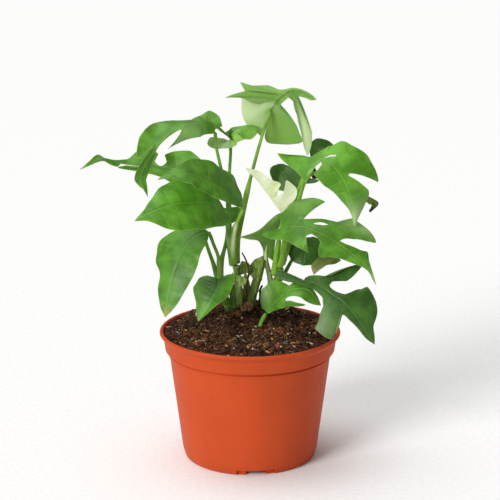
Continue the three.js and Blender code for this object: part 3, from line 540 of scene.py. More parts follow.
# rib: the midrib from stalk to tip. face, faceTip: the way the upper side looks at base and tip.
# left, right: rows of the margin, each with the station along the rib in percent, then how far the
# margin stands ahead, outward and up; both margins end at the tip. stalk: from stem to blade.
leafTable = {
    "upper_left": {
        "tone": "bright",
        "rib": [[-30, 4, 294], [-44, -4, 301], [-61, -12, 298], [-76, -20, 287], [-85, -26, 275],
            [-93, -28, 257], [-87, -26, 241]],
        "face": [0, -0.35, 0.95], "faceTip": [-0.8, -0.5, 0.2],
        "left": [[0, 1, 4, -3], [16, 0, 9, -9], [21, 11, 10, -10], [23, 26, 11, -14], [27, 11, 7, -5],
            [31, 2, 3, -1], [50, 1, 1, -1], [72, -7, 1, -4], [75, 0, 1, -6], [89, 0, 1, -5]],
        "right": [[0, -5, 0, 5], [2, -4, 9, 9], [6, -1, 17, 7], [10, 0, 15, 0], [18, 0, 13, -5],
            [31, 1, 17, -3], [42, -1, 18, 5], [49, 8, 14, 9], [53, 20, 6, 3], [56, 6, 1, 4], [59, -5, 1, 2],
            [66, 7, 1, 4], [75, 11, 1, 3], [82, 8, 1, -1]],
        "stalk": [[-26, -4, 159], [-25, 0, 177], [-20, 7, 199], [-20, 11, 230], [-25, 9, 257],
            [-29, 7, 277], [-30, 5, 291]],
    },
    "small_middle": {
        "tone": "bright",
        "rib": [[-17, 18, 281], [-17, 22, 286], [-10, 25, 290], [9, 26, 292]],
        "face": [-0.3, 0.3, 0.9],
        "left": [[0, -1, -6, 14], [10, -1, -1, 40], [12, -2, -2, 24], [27, 5, -2, 2], [84, -11, 3, 2],
            [87, -3, 2, 3]],
        "right": [[0, 2, -4, 4], [3, 0, -11, 16], [5, -5, -15, 15], [7, -9, -12, 10], [9, -10, -5, 5],
            [34, -7, 9, -7], [40, 0, 10, -12], [57, 1, 5, -7], [84, 0, 3, -11], [92, 1, 3, -7],
            [96, 0, 1, -2]],
        "stalk": [[-13, 7, 173], [-17, 13, 193], [-18, 22, 227], [-18, 24, 251], [-17, 22, 268],
            [-17, 19, 279]],
    },
    "far_left": {
        "tone": "deep",
        "rib": [[-45, 36, 255], [-71, 34, 253], [-93, 30, 256], [-116, 26, 260], [-131, 23, 264],
            [-149, 20, 255]],
        "face": [0, -0.1, 1],
        "left": [[0, 5, 11, -8], [18, 1, 15, -9], [21, 8, 11, -4], [23, 22, 10, -1], [25, 40, 9, 0],
            [41, 5, 7, 0], [43, 1, 3, 1], [56, 1, 1, 0], [60, 0, 3, -3], [64, 1, 3, -3], [75, 0, 2, -2],
            [89, -1, 3, -1]],
        "right": [[0, -4, 6, 2], [5, 0, 15, 10], [15, 0, 16, 11], [19, 5, 11, 9], [22, 0, 6, 4],
            [27, 0, 3, 1], [32, -1, 8, 3], [35, -7, 15, 9], [37, -2, 16, 11], [45, 1, 14, 8], [52, 1, 7, 2],
            [60, 0, 4, 1], [75, 0, 2, 0], [82, 0, 4, 3], [89, 0, 1, 2]],
        "stalk": [[-27, -3, 157], [-32, 4, 173], [-40, 16, 194], [-44, 26, 213], [-45, 34, 234],
            [-44, 36, 253]],
    },
    "domed": {
        "tone": "deep",
        "rib": [[-6, -14, 230], [-19, -24, 244], [-35, -32, 255], [-52, -40, 264], [-67, -46, 264],
            [-77, -50, 261]],
        "face": [0, -0.5, 0.85],
        "left": [[0, 4, 5, 0], [14, 0, 8, -2], [32, 0, 12, -3], [46, 2, 13, -2], [64, 0, 12, 0],
            [78, 0, 6, 1]],
        "right": [[0, -1, 9, 0], [7, -7, 19, 0], [14, -8, 30, 0], [27, -6, 32, -3], [40, -1, 30, -1],
            [53, 2, 22, -4], [67, 1, 11, -3], [84, 0, 4, -1]],
        "stalk": [[-14, -1, 175], [-15, -4, 190], [-13, -9, 209], [-6, -14, 228]],
    },
    "heart": {
        "tone": "bright",
        "rib": [[-22, -10, 226], [-38, -24, 235], [-57, -38, 238], [-75, -48, 236], [-88, -55, 232],
            [-96, -60, 228]],
        "face": [-0.1, -0.75, 0.65],
        "left": [[0, -18, -8, 0], [4, -29, -7, 0], [7, -24, 5, -1], [15, -8, 19, -2], [34, 0, 26, -3],
            [52, 0, 24, -3], [67, 0, 17, -2], [81, 0, 6, -1]],
        "right": [[0, 3, 6, 0], [5, 4, 12, 0], [12, 4, 18, -1], [24, 1, 24, -2], [37, -1, 26, -3],
            [50, 0, 21, -2], [63, 0, 12, -1], [78, 0, 4, 0]],
        "stalk": [[-15, 3, 172], [-18, 3, 190], [-20, -2, 210], [-21, -10, 225]],
    },
    "drooping": {
        "tone": "bright",
        "rib": [[-37, 0, 205], [-48, -8, 202], [-58, -18, 192], [-65, -26, 176], [-70, -32, 156],
            [-73, -36, 137]],
        "face": [-0.4, -0.75, 0.5],
        "left": [[0, 1, 3, 0], [11, -1, 10, 0], [30, 1, 16, -1], [53, 3, 19, -2], [70, 1, 15, -2],
            [85, 0, 10, -1], [94, 0, 5, 0]],
        "right": [[0, 2, 4, -1], [14, 1, 11, -2], [21, 8, 22, -3], [38, 4, 27, -4], [48, 5, 24, -4],
            [67, -1, 15, -3], [78, 0, 12, -2], [92, -1, 7, -1]],
        "stalk": [[-26, -7, 159], [-27, -6, 180], [-32, -3, 194], [-36, 0, 204]],
    },
    "small_heart": {
        "tone": "bright",
        "rib": [[-27, -38, 172], [-29, -44, 164], [-35, -50, 154], [-44, -54, 139]],
        "face": [-0.1, -0.75, 0.6],
        "left": [[0, -1, 2, 0], [2, -5, 6, 0], [12, -9, 14, -1], [18, -4, 13, -3], [39, 0, 11, -3],
            [65, 0, 6, -2], [85, 0, 3, -1]],
        "right": [[0, -1, 4, 0], [3, -3, 11, -1], [21, -5, 18, -3], [48, -1, 20, -4], [59, 2, 16, -4],
            [75, 4, 9, -2], [91, 0, 5, -1]],
        "stalk": [[-22, 3, 138], [-24, -9, 147], [-26, -22, 158], [-27, -37, 171]],
    },
    "top": {
        "tone": "pale",
        "rib": [[18, 24, 308], [22, 19, 316], [28, 14, 322], [35, 10, 327], [45, 7, 326], [57, 6, 319]],
        "face": [0, 0.8, 0.5], "faceTip": [0, 0.5, 0.8],
        "left": [[0, -9, 2, -1], [2, -28, 5, -7], [5, -34, 11, -8], [7, -32, 19, -9], [9, -28, 28, -11],
            [13, -21, 36, -13], [16, -12, 28, -9], [19, -5, 15, -5], [36, -6, 5, -3], [45, -1, 5, -2],
            [51, -4, 12, -3], [57, -8, 26, -14], [60, -5, 42, -28], [62, 0, 51, -37], [66, 10, 40, -21],
            [67, 6, 29, -13], [69, 1, 11, -5], [90, -2, 6, -1], [96, -1, 3, -2]],
        "right": [[0, -8, -2, 0], [2, -30, -3, -5], [5, -29, 12, 3], [11, -23, 20, 8], [13, -13, 24, 9],
            [18, -10, 9, 1], [19, -9, 25, -2], [22, -17, 41, -4], [24, -9, 30, 0], [28, -6, 19, 4],
            [31, -3, 8, 2], [40, -19, 26, 2], [41, -22, 29, 13], [42, -16, 17, 11], [44, -8, 10, 10],
            [46, -3, 4, 4], [61, -1, 1, 1], [79, 0, 1, 1], [93, 0, 1, 1]],
        "stalk": [[-12, 3, 174], [-11, 7, 195], [-7, 11, 216], [-2, 12, 239], [5, 15, 266],
            [12, 20, 290], [18, 24, 307]],
    },
    "upper_right": {
        "tone": "bright",
        "rib": [[52, -6, 271], [65, -14, 270], [75, -21, 261], [82, -26, 249], [87, -29, 233],
            [89, -30, 216]],
        "face": [-0.1, -0.55, 0.85], "faceTip": [0.3, -0.9, 0.3],
        "left": [[0, 1, 3, 0], [9, 0, 9, 1], [17, -1, 16, 2], [20, -1, 24, 2], [27, -1, 27, 0],
            [33, 0, 31, -3], [37, 4, 34, -6], [40, 11, 34, -9], [42, 21, 30, -12], [43, 9, 21, -6],
            [48, -1, 14, -2], [53, -4, 6, 0], [68, -10, 11, -2], [71, -1, 19, -4], [80, 0, 13, -3],
            [92, 1, 4, -1]],
        "right": [[0, -7, -1, 0], [4, -24, -1, 0], [6, -40, -3, -2], [8, -32, 5, -2], [10, -18, 14, -3],
            [12, -2, 26, -4], [15, -6, 16, -2], [16, -3, 9, -1], [21, -6, 4, 0], [32, -8, 7, 0],
            [35, -8, 14, -1], [39, -9, 18, -2], [46, 0, 16, -3], [69, 0, 8, -3], [88, 1, 1, -2]],
        "stalk": [[28, 5, 172], [33, 3, 196], [37, 1, 214], [42, 0, 232], [47, -3, 252], [52, -6, 270]],
    },
    "back_right": {
        "tone": "deep",
        "rib": [[56, 32, 262], [60, 36, 269], [66, 40, 271], [77, 44, 269]],
        "face": [-0.2, -0.5, 0.85],
        "left": [[0, -1, 1, 3], [10, 3, 5, 4], [35, 5, 6, 6], [65, 4, 5, 4]],
        "right": [[0, 1, 4, -2], [35, 1, 8, -5], [70, 6, 6, -2]],
        "stalk": [[26, 9, 169], [33, 14, 197], [38, 18, 219], [43, 20, 237], [48, 22, 251],
            [52, 26, 257], [56, 31, 260]],
    },
    "dark_back": {
        "tone": "deep",
        "rib": [[47, 32, 247], [36, 34, 251], [27, 32, 248], [26, 26, 235]],
        "face": [0, -0.4, 0.9], "faceTip": [-0.5, -0.8, 0.3],
        "left": [[0, -15, 2, 4], [7, -16, 4, 3], [20, -13, 9, 1], [45, -5, 17, -2], [80, 10, 8, 0]],
        "right": [[0, -6, 8, 1], [6, 0, 10, -1], [33, 0, 7, -2], [58, 0, 7, 5], [71, -2, 6, 9],
            [83, 0, 3, 8]],
        "stalk": [[25, 10, 165], [30, 15, 193], [34, 20, 214], [39, 26, 231], [43, 31, 243],
            [46, 32, 246]],
    },
    "mid_right": {
        "tone": "bright",
        "rib": [[28, -22, 213], [43, -30, 216], [59, -37, 212], [76, -42, 203], [91, -45, 192],
            [102, -46, 182], [107, -46, 169]],
        "face": [0, -0.6, 0.8], "faceTip": [0.3, -0.85, 0.4],
        "left": [[0, -4, 7, 0], [2, -8, 16, 0], [6, -8, 24, 0], [9, -2, 31, -1], [11, 8, 34, -3],
            [14, 13, 33, -6], [15, 4, 22, -2], [17, -4, 11, 0], [19, -7, 7, 0], [26, -7, 9, 0],
            [28, 1, 15, -1], [30, 13, 20, -3], [34, 18, 29, -4], [36, 28, 29, -7], [42, 34, 25, -10],
            [44, 17, 16, -4], [47, 5, 9, -1], [49, -1, 3, 0], [60, -2, 6, -1], [68, -2, 9, -2],
            [71, 0, 12, -3], [78, 0, 5, -2], [85, 1, 1, -1]],
        "right": [[0, -4, 1, 0], [2, -14, 2, 0], [5, -26, 3, -2], [7, -18, 9, -2], [11, -8, 13, -2],
            [19, 1, 19, -3], [22, 12, 21, -5], [24, 3, 18, -3], [26, -1, 12, -1], [30, -5, 7, 0],
            [34, -6, 4, 0], [37, -4, 5, 0], [43, -7, 7, -1], [46, -8, 14, -2], [49, -7, 18, -3],
            [52, -1, 12, -3], [64, 0, 6, -3], [78, 0, 2, -2], [94, 0, 1, -1]],
        "stalk": [[26, 2, 171], [30, -7, 189], [31, -15, 202], [29, -21, 211]],
    },
    "inner_left": {
        "tone": "deep",
        "rib": [[28, 9, 210], [17, 3, 206], [5, -3, 203], [-9, -8, 201]],
        "face": [0, 0.6, 0.8],
        "left": [[0, -2, 10, 5], [20, -4, 10, 6], [40, -1, 7, 4], [60, 1, 4, 1], [80, 0, 2, 0]],
        "right": [[0, 15, 27, -22], [20, 12, 22, -16], [40, 5, 15, -10], [60, 1, 8, -4], [80, 0, 3, -3]],
        "stalk": [[19, 9, 150], [17, 9, 163], [14, 10, 176], [14, 11, 190], [18, 11, 203],
            [26, 10, 209]],
    },
    "new": {
        "tone": "young",
        "rib": [[29, 1, 221], [17, -3, 239], [7, -7, 253], [-4, -11, 263]],
        "face": [-0.1, -0.9, 0.3],
        "left": [[0, 1, 2, 0], [20, -1, 2, -1], [50, -1, 2, -1], [80, 0, 1.5, -1]],
        "right": [[0, 1, 4, 0], [5, 1, 14, 2], [9, 7, 21, 4], [12, 17, 18, 5], [14, 7, 13, 2],
            [17, 4, 9, 1], [25, -1, 4, 0], [33, 0, 9, 3], [38, 0, 12, 4], [48, 0, 9, 3], [58, 0, 7, 2],
            [73, 0, 5, 1]],
        "stalk": [[21, 4, 163], [23, 3, 180], [26, 2, 200], [29, 1, 220]],
    },
    "under_right": {
        "tone": "deep",
        "rib": [[48, 14, 195], [48, 10, 185], [47, 4, 172]],
        "face": [0, -0.8, 0.5],
        "left": [[0, -1, 8, 0], [15, 0, 15, -1], [40, 4, 15, -3], [70, 5, 11, -2]],
        "right": [[0, -1, 6, 0], [15, 0, 14, -1], [40, 2, 15, -3], [70, 4, 11, -2]],
        "stalk": [[24, 9, 156], [30, 12, 162], [36, 16, 172], [43, 17, 185], [48, 15, 193]],
    },
    "olive": {
        "tone": "olive",
        "rib": [[77, -8, 183], [66, -14, 181], [55, -18, 170]],
        "face": [0, -0.6, 0.7],
        "left": [[0, 0, 4, 0], [25, 2, 6, 0], [50, 4, 3, 0], [80, 1, 1, 0]],
        "right": [[0, 1, 5, 0], [40, 2, 8, -1], [75, 2, 8, -1]],
        "stalk": [[28, 3, 174], [36, -7, 198], [47, -17, 209], [62, -23, 208], [71, -17, 196],
            [76, -9, 184]],
    },
    "low_right": {
        "tone": "deep",
        "rib": [[46, -30, 168], [56, -36, 167], [66, -42, 162], [81, -50, 153], [92, -54, 140],
            [99, -56, 129], [106, -56, 119]],
        "face": [0, -0.7, 0.7], "faceTip": [0.2, -0.9, 0.4],
        "left": [[0, 0, 3, 0], [3, 1, 6, 0], [11, 11, 10, 0], [14, 16, 19, 0], [17, 24, 37, -4],
            [19, 21, 25, -3], [21, 16, 17, -3], [29, 2, 17, -1], [32, -1, 6, 0], [41, -4, 4, 0],
            [45, 0, 7, 0], [49, 0, 18, -2], [53, -1, 26, -4], [64, -1, 25, -6], [81, 0, 10, -3],
            [92, 0, 5, -1]],
        "right": [[0, -4, -1, 0], [2, -17, -3, 2], [4, -31, -5, 0], [6, -34, -1, -2], [9, -23, 3, -2],
            [11, -11, 4, -1], [15, -4, 5, 0], [25, 0, 6, 0], [30, 3, 7, 0], [33, 6, 13, -2],
            [39, 1, 20, -4], [43, 0, 32, -7], [46, 7, 32, -8], [49, 13, 28, -8], [51, 8, 17, -4],
            [54, 1, 8, -1], [65, -3, 6, -1], [74, 0, 4, -1], [87, 0, 3, 0]],
        "stalk": [[22, 9, 131], [27, 0, 142], [33, -9, 154], [39, -17, 162], [45, -29, 167]],
    },
    "low_centre": {
        "tone": "bright",
        "rib": [[14, -14, 135], [22, -20, 146], [35, -26, 158], [48, -30, 160], [56, -33, 154],
            [61, -34, 147]],
        "face": [-0.1, -0.65, 0.75],
        "left": [[0, -3, 6, 0], [3, -4, 15, 0], [13, -1, 20, 1], [25, 0, 20, 0], [33, 0, 13, 0],
            [42, 0, 4, 0], [56, 0, 6, 0], [69, 0, 4, -1], [85, 0, 2, -1]],
        "right": [[0, 2, 3, 0], [8, 5, 6, -1], [16, 15, 13, -3], [20, 27, 21, -5], [24, 11, 9, -3],
            [31, 0, 5, -1], [36, -2, 4, -1], [40, 0, 5, -1], [65, 0, 9, -1], [89, 0, 5, -1]],
        "stalk": [[8, -20, 114], [9, -18, 124], [11, -16, 129], [14, -14, 134]],
    },
    "brown_tip": {
        "tone": "olive",
        "rib": [[90, 24, 238], [102, 22, 230], [111, 20, 224], [106, 18, 217]],
        "face": [-0.1, -0.6, 0.8],
        "left": [[0, 0, 4, 0], [33, 1, 2, 0], [60, -1, 2, 0], [80, -3, 1, 0]],
        "right": [[0, 1, 6, 0], [33, 0, 4, 0], [60, -2, 5, 0], [85, 4, 2, 0]],
        "stalk": [[29, 7, 175], [37, 10, 207], [43, 13, 229], [49, 14, 247], [58, 17, 253],
            [68, 19, 249], [79, 21, 244], [89, 24, 238]],
    },
}

# the small scale leaves at the foot of the stalks, laid out as the leaves are
scaleTable = {
    "right": {
        "rib": [[-1, 9, 132], [1, 7, 143], [4, 4, 155], [8, 1, 168], [12, -2, 183]],
        "face": [-0.2, -0.9, 0.2],
        "left": [[0, 0, 3, 0], [58, 0, 3, 0], [63, 0, 7, 0], [75, 1, 9, 1], [87, 1, 7, 1],
            [95, 0, 3, 0]],
        "right": [[0, 0, 4, 1], [50, 0, 3, 1], [85, 0, 2, 1]],
    },
    "middle": {
        "rib": [[-9, 8, 132], [-10, 4, 143], [-11, 0, 154], [-12, -3, 166]],
        "face": [0, -0.9, 0.2],
        "left": [[0, 0, 3, 1], [50, 0, 3, 1], [85, 0, 2, 1]],
        "right": [[0, 0, 3, 1], [66, 0, 3, 1], [74, 0, 7, 2], [88, 0, 9, 2], [95, 0, 5, 1]],
    },
    "left": {
        "rib": [[-15, 7, 132], [-15, 5, 144], [-16, 2, 156], [-15, 0, 167]],
        "face": [0, -0.9, 0.2],
        "left": [[0, 0, 3, 1], [50, 0, 3, 1], [85, 0, 2, 1]],
        "right": [[0, 0, 2, 1], [50, 0, 2, 1], [85, 0, 1, 0]],
    },
    "inner": {
        "rib": [[-3, 12, 133], [-3, 11, 144], [-3, 9, 156], [-4, 7, 166]],
        "face": [0, -0.9, 0.2],
        "left": [[0, 0, 2, 0], [50, 0, 3, 0], [85, 0, 2, 0]],
        "right": [[0, 0, 3, 0], [50, 0, 3, 0], [85, 0, 1, 0]],
    },
    "round": {
        "rib": [[-4, 1, 166], [-5, 0, 172], [-7, -2, 178]],
        "face": [0.1, -0.9, 0.3],
        "left": [[0, 0, 4, 1], [40, 0, 6, 2], [75, 0, 5, 2]],
        "right": [[0, 0, 4, 1], [40, 0, 5, 2], [75, 0, 4, 2]],
    },
    "papery": {
        "rib": [[-3, 2, 131], [-3, 2, 135], [-2, 1, 141]],
        "face": [0, -0.9, 0.4],
        "left": [[0, 0, 5, 1], [35, 1, 6, 1], [60, 0, 5, 0], [82, 0, 2, 0]],
        "right": [[0, 0, 3, 1], [35, 0, 5, 1], [65, 1, 6, 1], [90, 1, 4, 0]],
    },
}

# slits and holes beside the midrib: station, share of the way out (- is left), half length along the
# rib, half width, and how far the slit slants outward for each step along the rib
leafHoles = {
    "mid_right": [(0.285, -0.56, 0.015, 0.11, 0.0)],
    "upper_right": [(0.20, -0.24, 0.045, 0.055, -2.5)],
}
# painted light (+) and painted shade (-) patches on the blades: station, share of the way out, half
# length, half width, strength
paintedLightPatches = {
    "top": [(0.10, 0.75, 0.08, 0.85, 1.0), (0.62, -0.85, 0.05, 0.50, 1.0), (0.22, 0.9, 0.03, 0.7, -0.10),
            (0.41, 0.9, 0.03, 0.8, -0.2), (0.85, 0.0, 0.25, 1.5, -0.15)],
    "upper_left": [(0.04, 0.7, 0.06, 0.6, -0.12), (0.22, -0.8, 0.12, 0.8, 0.30),
                   (0.10, 0.3, 0.10, 0.5, 0.15)],
    "upper_right": [(0.95, 0.0, 0.20, 1.5, 0.6), (0.25, 0.6, 0.12, 0.5, 0.15)],
    "mid_right": [(0.36, -0.9, 0.06, 0.4, 0.35), (0.95, 0.0, 0.12, 1.5, 0.4), (0.05, 0.6, 0.06, 0.9, -0.2),
                  (0.10, -0.9, 0.05, 0.6, 0.25)],
    "heart": [(0.10, 0.0, 0.14, 0.9, 0.2)],
    "drooping": [(0.45, 0.0, 0.80, 1.6, -0.3)],
    "small_heart": [(0.22, 0.35, 0.38, 0.8, -0.9), (0.0, -0.4, 0.14, 0.8, -0.6)],
    "low_centre": [(0.10, -0.7, 0.14, 0.5, 0.40)],
    "small_middle": [(0.06, 0.7, 0.12, 0.8, 0.6), (0.6, 0.0, 0.40, 1.5, 0.2)],
    "new": [(0.14, 0.8, 0.10, 0.7, 0.3)],
    "low_right": [(0.45, 0.8, 0.08, 0.5, 0.25)],
}

# a shrivelled husk that clings to one of the stalks at the back
driedHusk = {
    "rib": [[49, 23, 259], [53, 21, 256], [56, 20, 252], [55, 19, 247]],
    "face": [0.2, -0.9, 0.3],
    "left": [[0, 0, 2, 2], [30, 1, 4, 3], [55, 0, 2, 2], [75, 2, 4, 2]],
    "right": [[0, 0, 1, 1], [20, 1, 4, 3], [45, 0, 3, 3], [70, -1, 4, 2]],
}

huskThick, driedThick = 1.3, 2.0    # times the thickness of a leaf

bladeShape = {
    "tries": 1600,          # stations tried out to find even ones
    "step": 1.1,            # mm between stations, measured along the longer margin
    "columns": 44,          # across the blade, and one more column just inside each rim
    "rimColumn": 0.985,     # share of the way out to that column
    "veinSpacing": 0.13,    # of the side veins, as a share of the blade's length
    "thickness": 0.46,      # mm at the midrib
    "rimThickness": 0.24,
    "tipHalf": 0.15,
    "quilt": 0.024,         # height of the swelling between veins, as a share of their spacing
    "quiltMost": 0.30,
    "quiltSpacing": 6,      # mm between veins where the swelling is whole
    "ribSpread": 1.0,       # mm from the middle of the midrib
    "ribWhole": 3,          # mm that the blade is wide where the midrib is whole
    "groove": 0.45,         # mm deep above the midrib, at the base
    "grooveLoss": 0.6,      # share that is gone at the tip
    "ridge": 1.05,          # mm that the midrib stands out below, at the base
    "ridgeLoss": 0.75,
    "ripple": 0.75,         # mm of waviness at the rim
    "rippleLength": 23,     # mm along the rim
    "rippleWhole": 14,      # mm that the blade is wide where the ripple is whole
}


def margin(leaf, side):
    # rows of one margin, closed at the tip
    return np.array(leaf[side] + [[100, 0, 0, 0]], float)


def bladeGrid(leaf, s, v):
    # Point at station s along the rib and share v across, from -1 at the left rim to 1 at the right:
    # rib point + ahead * half of (t + t^2) + sideways * t + up * t^2, with t = |v|, so that lines of
    # constant s leave the rib like veins and bend towards the tip.
    centre = through(leaf["rib"], s)
    near = 1e-3
    ahead = unit(through(leaf["rib"], s + near) - through(leaf["rib"], s - near))
    face, faceTip = np.array(leaf["face"], float), np.array(leaf.get("faceTip", leaf["face"]), float)
    face = face + (faceTip - face) * s[:, None]
    up = unit(face - np.sum(face * ahead, -1, keepdims=True) * ahead)
    outward = np.cross(ahead, up)
    left, right = (eased(margin(leaf, side), 100 * s) for side in ("left", "right"))
    t = np.abs(v)[None, :, None]
    rows = np.where(v[None, :, None] < 0, left[:, None, :], right[:, None, :])
    reach = rows[..., 1:2] + bladeShape["tipHalf"]
    return (centre[:, None] + ahead[:, None] * rows[..., :1] * 0.5 * (t + t * t)
            + outward[:, None] * np.sign(v)[None, :, None] * reach * t + up[:, None] * rows[..., 2:] * t * t)


def evenStations(leaf):
    # stations set so that no margin moves more than one step from one to the next
    s = np.linspace(0, 1, bladeShape["tries"])
    lines = bladeGrid(leaf, s, np.array([-1.0, 0.0, 1.0]))
    travel = np.linalg.norm(np.diff(lines, axis=0), axis=-1).max(1)
    total = np.concatenate([[0], np.cumsum(travel)])
    count = int(total[-1] / bladeShape["step"]) + 8
    return np.interp(np.linspace(0, total[-1], count), total, s)


def veinPhase(rows, s):
    # whole numbers where side veins leave the rib: one to each lobe, others between them
    reach = rows[:, 2]
    lobes = [rows[k, 0] / 100 for k in range(1, len(rows) - 1)
             if reach[k] > max(reach[k - 1], reach[k + 1])]
    marks = [0.0]
    for mark in lobes + [1.0]:
        fill = max(1, round((mark - marks[-1]) / bladeShape["veinSpacing"]))
        marks += [marks[-1] + (mark - marks[-1]) * k / fill for k in range(1, fill + 1)]
    marks = np.array(sorted(set(marks)))
    return np.interp(s, marks, np.arange(len(marks)))


def bladeFaces(n, m, opened):
    # the two skins and the rim of a blade, and walls round each opened cell of the n by m grid
    around = 2 * m
    i, j = np.meshgrid(np.arange(n - 1), np.arange(around), indexing="ij")
    k = (j + 1) % around
    faces = np.stack([i * around + j, i * around + k, (i + 1) * around + k, (i + 1) * around + j], -1)
    kept = np.ones((n - 1, around), bool)
    kept[:, :m - 1] = ~opened
    kept[:, m:around - 1] = ~opened[:, ::-1]
    faces = [faces[kept], ringFaces(n, around)[(n - 1) * around:]]

    def walls(i, j, di, dj, flip):
        # from the upper skin to the lower one along the edge that starts at (i, j)
        a, b = i * around + j, (i + di) * around + j + dj
        c, d = (i + di) * around + around - 1 - j - dj, i * around + around - 1 - j
        wall = np.stack([a, b, c, d], -1)
        return wall[:, ::-1] if flip else wall

    for flip in (False, True):
        pair = opened[:, :-1], opened[:, 1:]
        first, second = pair if flip else pair[::-1]
        i, j = np.nonzero(~first & second)
        faces.append(walls(i, j + 1, 1, 0, flip))
        pair = opened[:-1], opened[1:]
        first, second = pair if flip else pair[::-1]
        i, j = np.nonzero(~first & second)
        faces.append(walls(i + 1, j, 0, 1, not flip))
    return np.vstack(faces)


def ellipse(s, v, station, share, long, wide, slant=0.0):
    # squared distance from the middle of an ellipse on the blade, 1 on its edge
    off = s - station
    return (off / long) ** 2 + ((v - share - slant * off) / wide) ** 2


def addBlade(name, node, leaf, material, holes=(), patches=(), seed=0, thick=1.0):
    # two skins that follow the grid: quilted between the side veins, grooved above the midrib and
    # ridged below it, waved at the rim
    look = bladeShape
    s = evenStations(leaf)
    v = np.append(np.linspace(-1, 1, look["columns"] + 1), [-look["rimColumn"], look["rimColumn"]])
    v = np.sort(v)
    grid = bladeGrid(leaf, s, v)
    t = np.abs(v)[None, :]

    left, right = (veinPhase(margin(leaf, side), s) for side in ("left", "right"))
    phase = np.where(v[None, :] < 0, left[:, None], right[:, None])
    along = np.gradient(grid, s, axis=0)
    veinGap = np.linalg.norm(along, axis=-1) / np.maximum(np.gradient(phase, s, axis=0), 1e-3)
    width = np.linalg.norm(np.where(v[None, :, None] < 0, grid[:, :1], grid[:, -1:])
                           - grid[:, len(v) // 2][:, None], axis=-1)
    ribGap, rimGap = t * width, (1 - t) * width

    normal = unit(np.cross(np.gradient(grid, v, axis=1), along))
    fade = np.clip(4 * t * (1 - t), 0, 1) * np.clip(veinGap / look["quiltSpacing"], 0, 1)
    swell = np.minimum(look["quilt"] * veinGap, look["quiltMost"])
    lift = swell * (np.abs(np.sin(math.pi * phase)) - 0.5) * fade
    rng = np.random.default_rng(seed)
    reach = np.concatenate([[0], np.cumsum(np.linalg.norm(np.diff(grid[:, -1], axis=0), axis=-1))])
    waves = 2 * math.pi * reach[:, None] / look["rippleLength"]
    turn = np.where(v[None, :] < 0, rng.uniform(0, 6), rng.uniform(0, 6))
    small = np.clip(width / look["rippleWhole"], 0, 1) * np.sin(math.pi * np.clip(s, 0, 1))[:, None] ** 0.5
    lift = lift + look["ripple"] * t ** 3 * small * np.sin(waves + turn)
    rib = np.exp(-(ribGap / look["ribSpread"]) ** 2) * np.clip(width / look["ribWhole"], 0, 1)
    groove = look["groove"] * rib * (1 - look["grooveLoss"] * s[:, None])
    ridge = look["ridge"] * rib * (1 - look["ridgeLoss"] * s[:, None])
    half = 0.5 * thick * (look["thickness"] + (look["rimThickness"] - look["thickness"]) * t)
    above = grid + normal * (lift + half - groove)[..., None]
    below = grid + normal * (lift - half - ridge)[..., None]

    def mirror(field):
        # the same values on the lower skin as on the upper one
        return np.concatenate([field, field[:, ::-1]], axis=1)

    points = np.concatenate([above, below[:, ::-1]], axis=1)
    station = np.broadcast_to(s[:, None], phase.shape)
    upper = np.concatenate([np.ones_like(phase), np.zeros_like(phase)], axis=1)
    carried = {
        "leafPlace": np.stack([mirror(station), mirror(ribGap), mirror(rimGap)], -1),
        "leafVein": np.stack([mirror(phase), mirror(veinGap), upper], -1),
    }
    # painted light (+) and painted shade (-) on the blade, from its patches
    patch = sum((strength * np.exp(-ellipse(s[:, None], v[None, :], *place))
                 for *place, strength in patches), 0 * phase)
    carried["leafPaintedLight"] = mirror(patch)
    middleS, middleV = (s[1:] + s[:-1]) / 2, (v[1:] + v[:-1]) / 2
    opened = np.zeros((len(s) - 1, len(v) - 1), bool)
    for hole in holes:
        opened |= ellipse(middleS[:, None], middleV[None, :], *hole) < 1
    return makePiece(name, points, bladeFaces(len(s), len(v), opened), material, [node], carried)


rodShape = {
    "tries": 400,           # points tried out to find even ones
    "step": 1.2,            # mm between rings
    "sides": 36,
    "endLength": 1.2,       # mm over which each end is rounded
    "endLeast": 0.12,       # least share of that length, so that the last ring stays open
}


def rodFrames(path):
    # centre line of a rod, and two directions across it: one towards the back, one to its side
    t = np.linspace(0, 1, rodShape["tries"])
    line = through(path, t)
    travel = np.concatenate([[0], np.cumsum(np.linalg.norm(np.diff(line, axis=0), axis=-1))])
    t = np.interp(np.linspace(0, travel[-1], int(travel[-1] / rodShape["step"]) + 6), travel, t)
    centre = through(path, t)
    ahead = unit(np.gradient(centre, axis=0))
    back = np.array([0.0, 1.0, 0.0])
    across = unit(back - (ahead @ back)[:, None] * ahead)
    return centre, across, np.cross(ahead, across), np.linspace(0, travel[-1], len(t))


def addRod(name, node, path, radius, material, carried):
    # radius and carried are worked out from the distance along the rod in mm, the rod's length and
    # the turn round it: the outline of its section, and two values for its material
    centre, across, side, distance = rodFrames(path)
    turn = np.linspace(0, 2 * math.pi, rodShape["sides"], endpoint=False)[None, :]
    gap = distance[:, None]
    length = distance[-1]
    thick = radius(gap, length, turn)
    near = np.minimum(gap, length - gap) / rodShape["endLength"]
    thick = thick * np.sqrt(1 - (1 - np.clip(near, rodShape["endLeast"], 1)) ** 2)
    points = (centre[:, None] + across[:, None] * (thick * np.cos(turn))[..., None]
              + side[:, None] * (thick * np.sin(turn))[..., None])
    values = np.broadcast_arrays(gap / length + 0 * turn, *carried(gap, length, turn))
    return makePiece(name, points, ringFaces(len(centre), rodShape["sides"]), material, [node],
                     {"stalkPlace": np.stack(values, -1)})


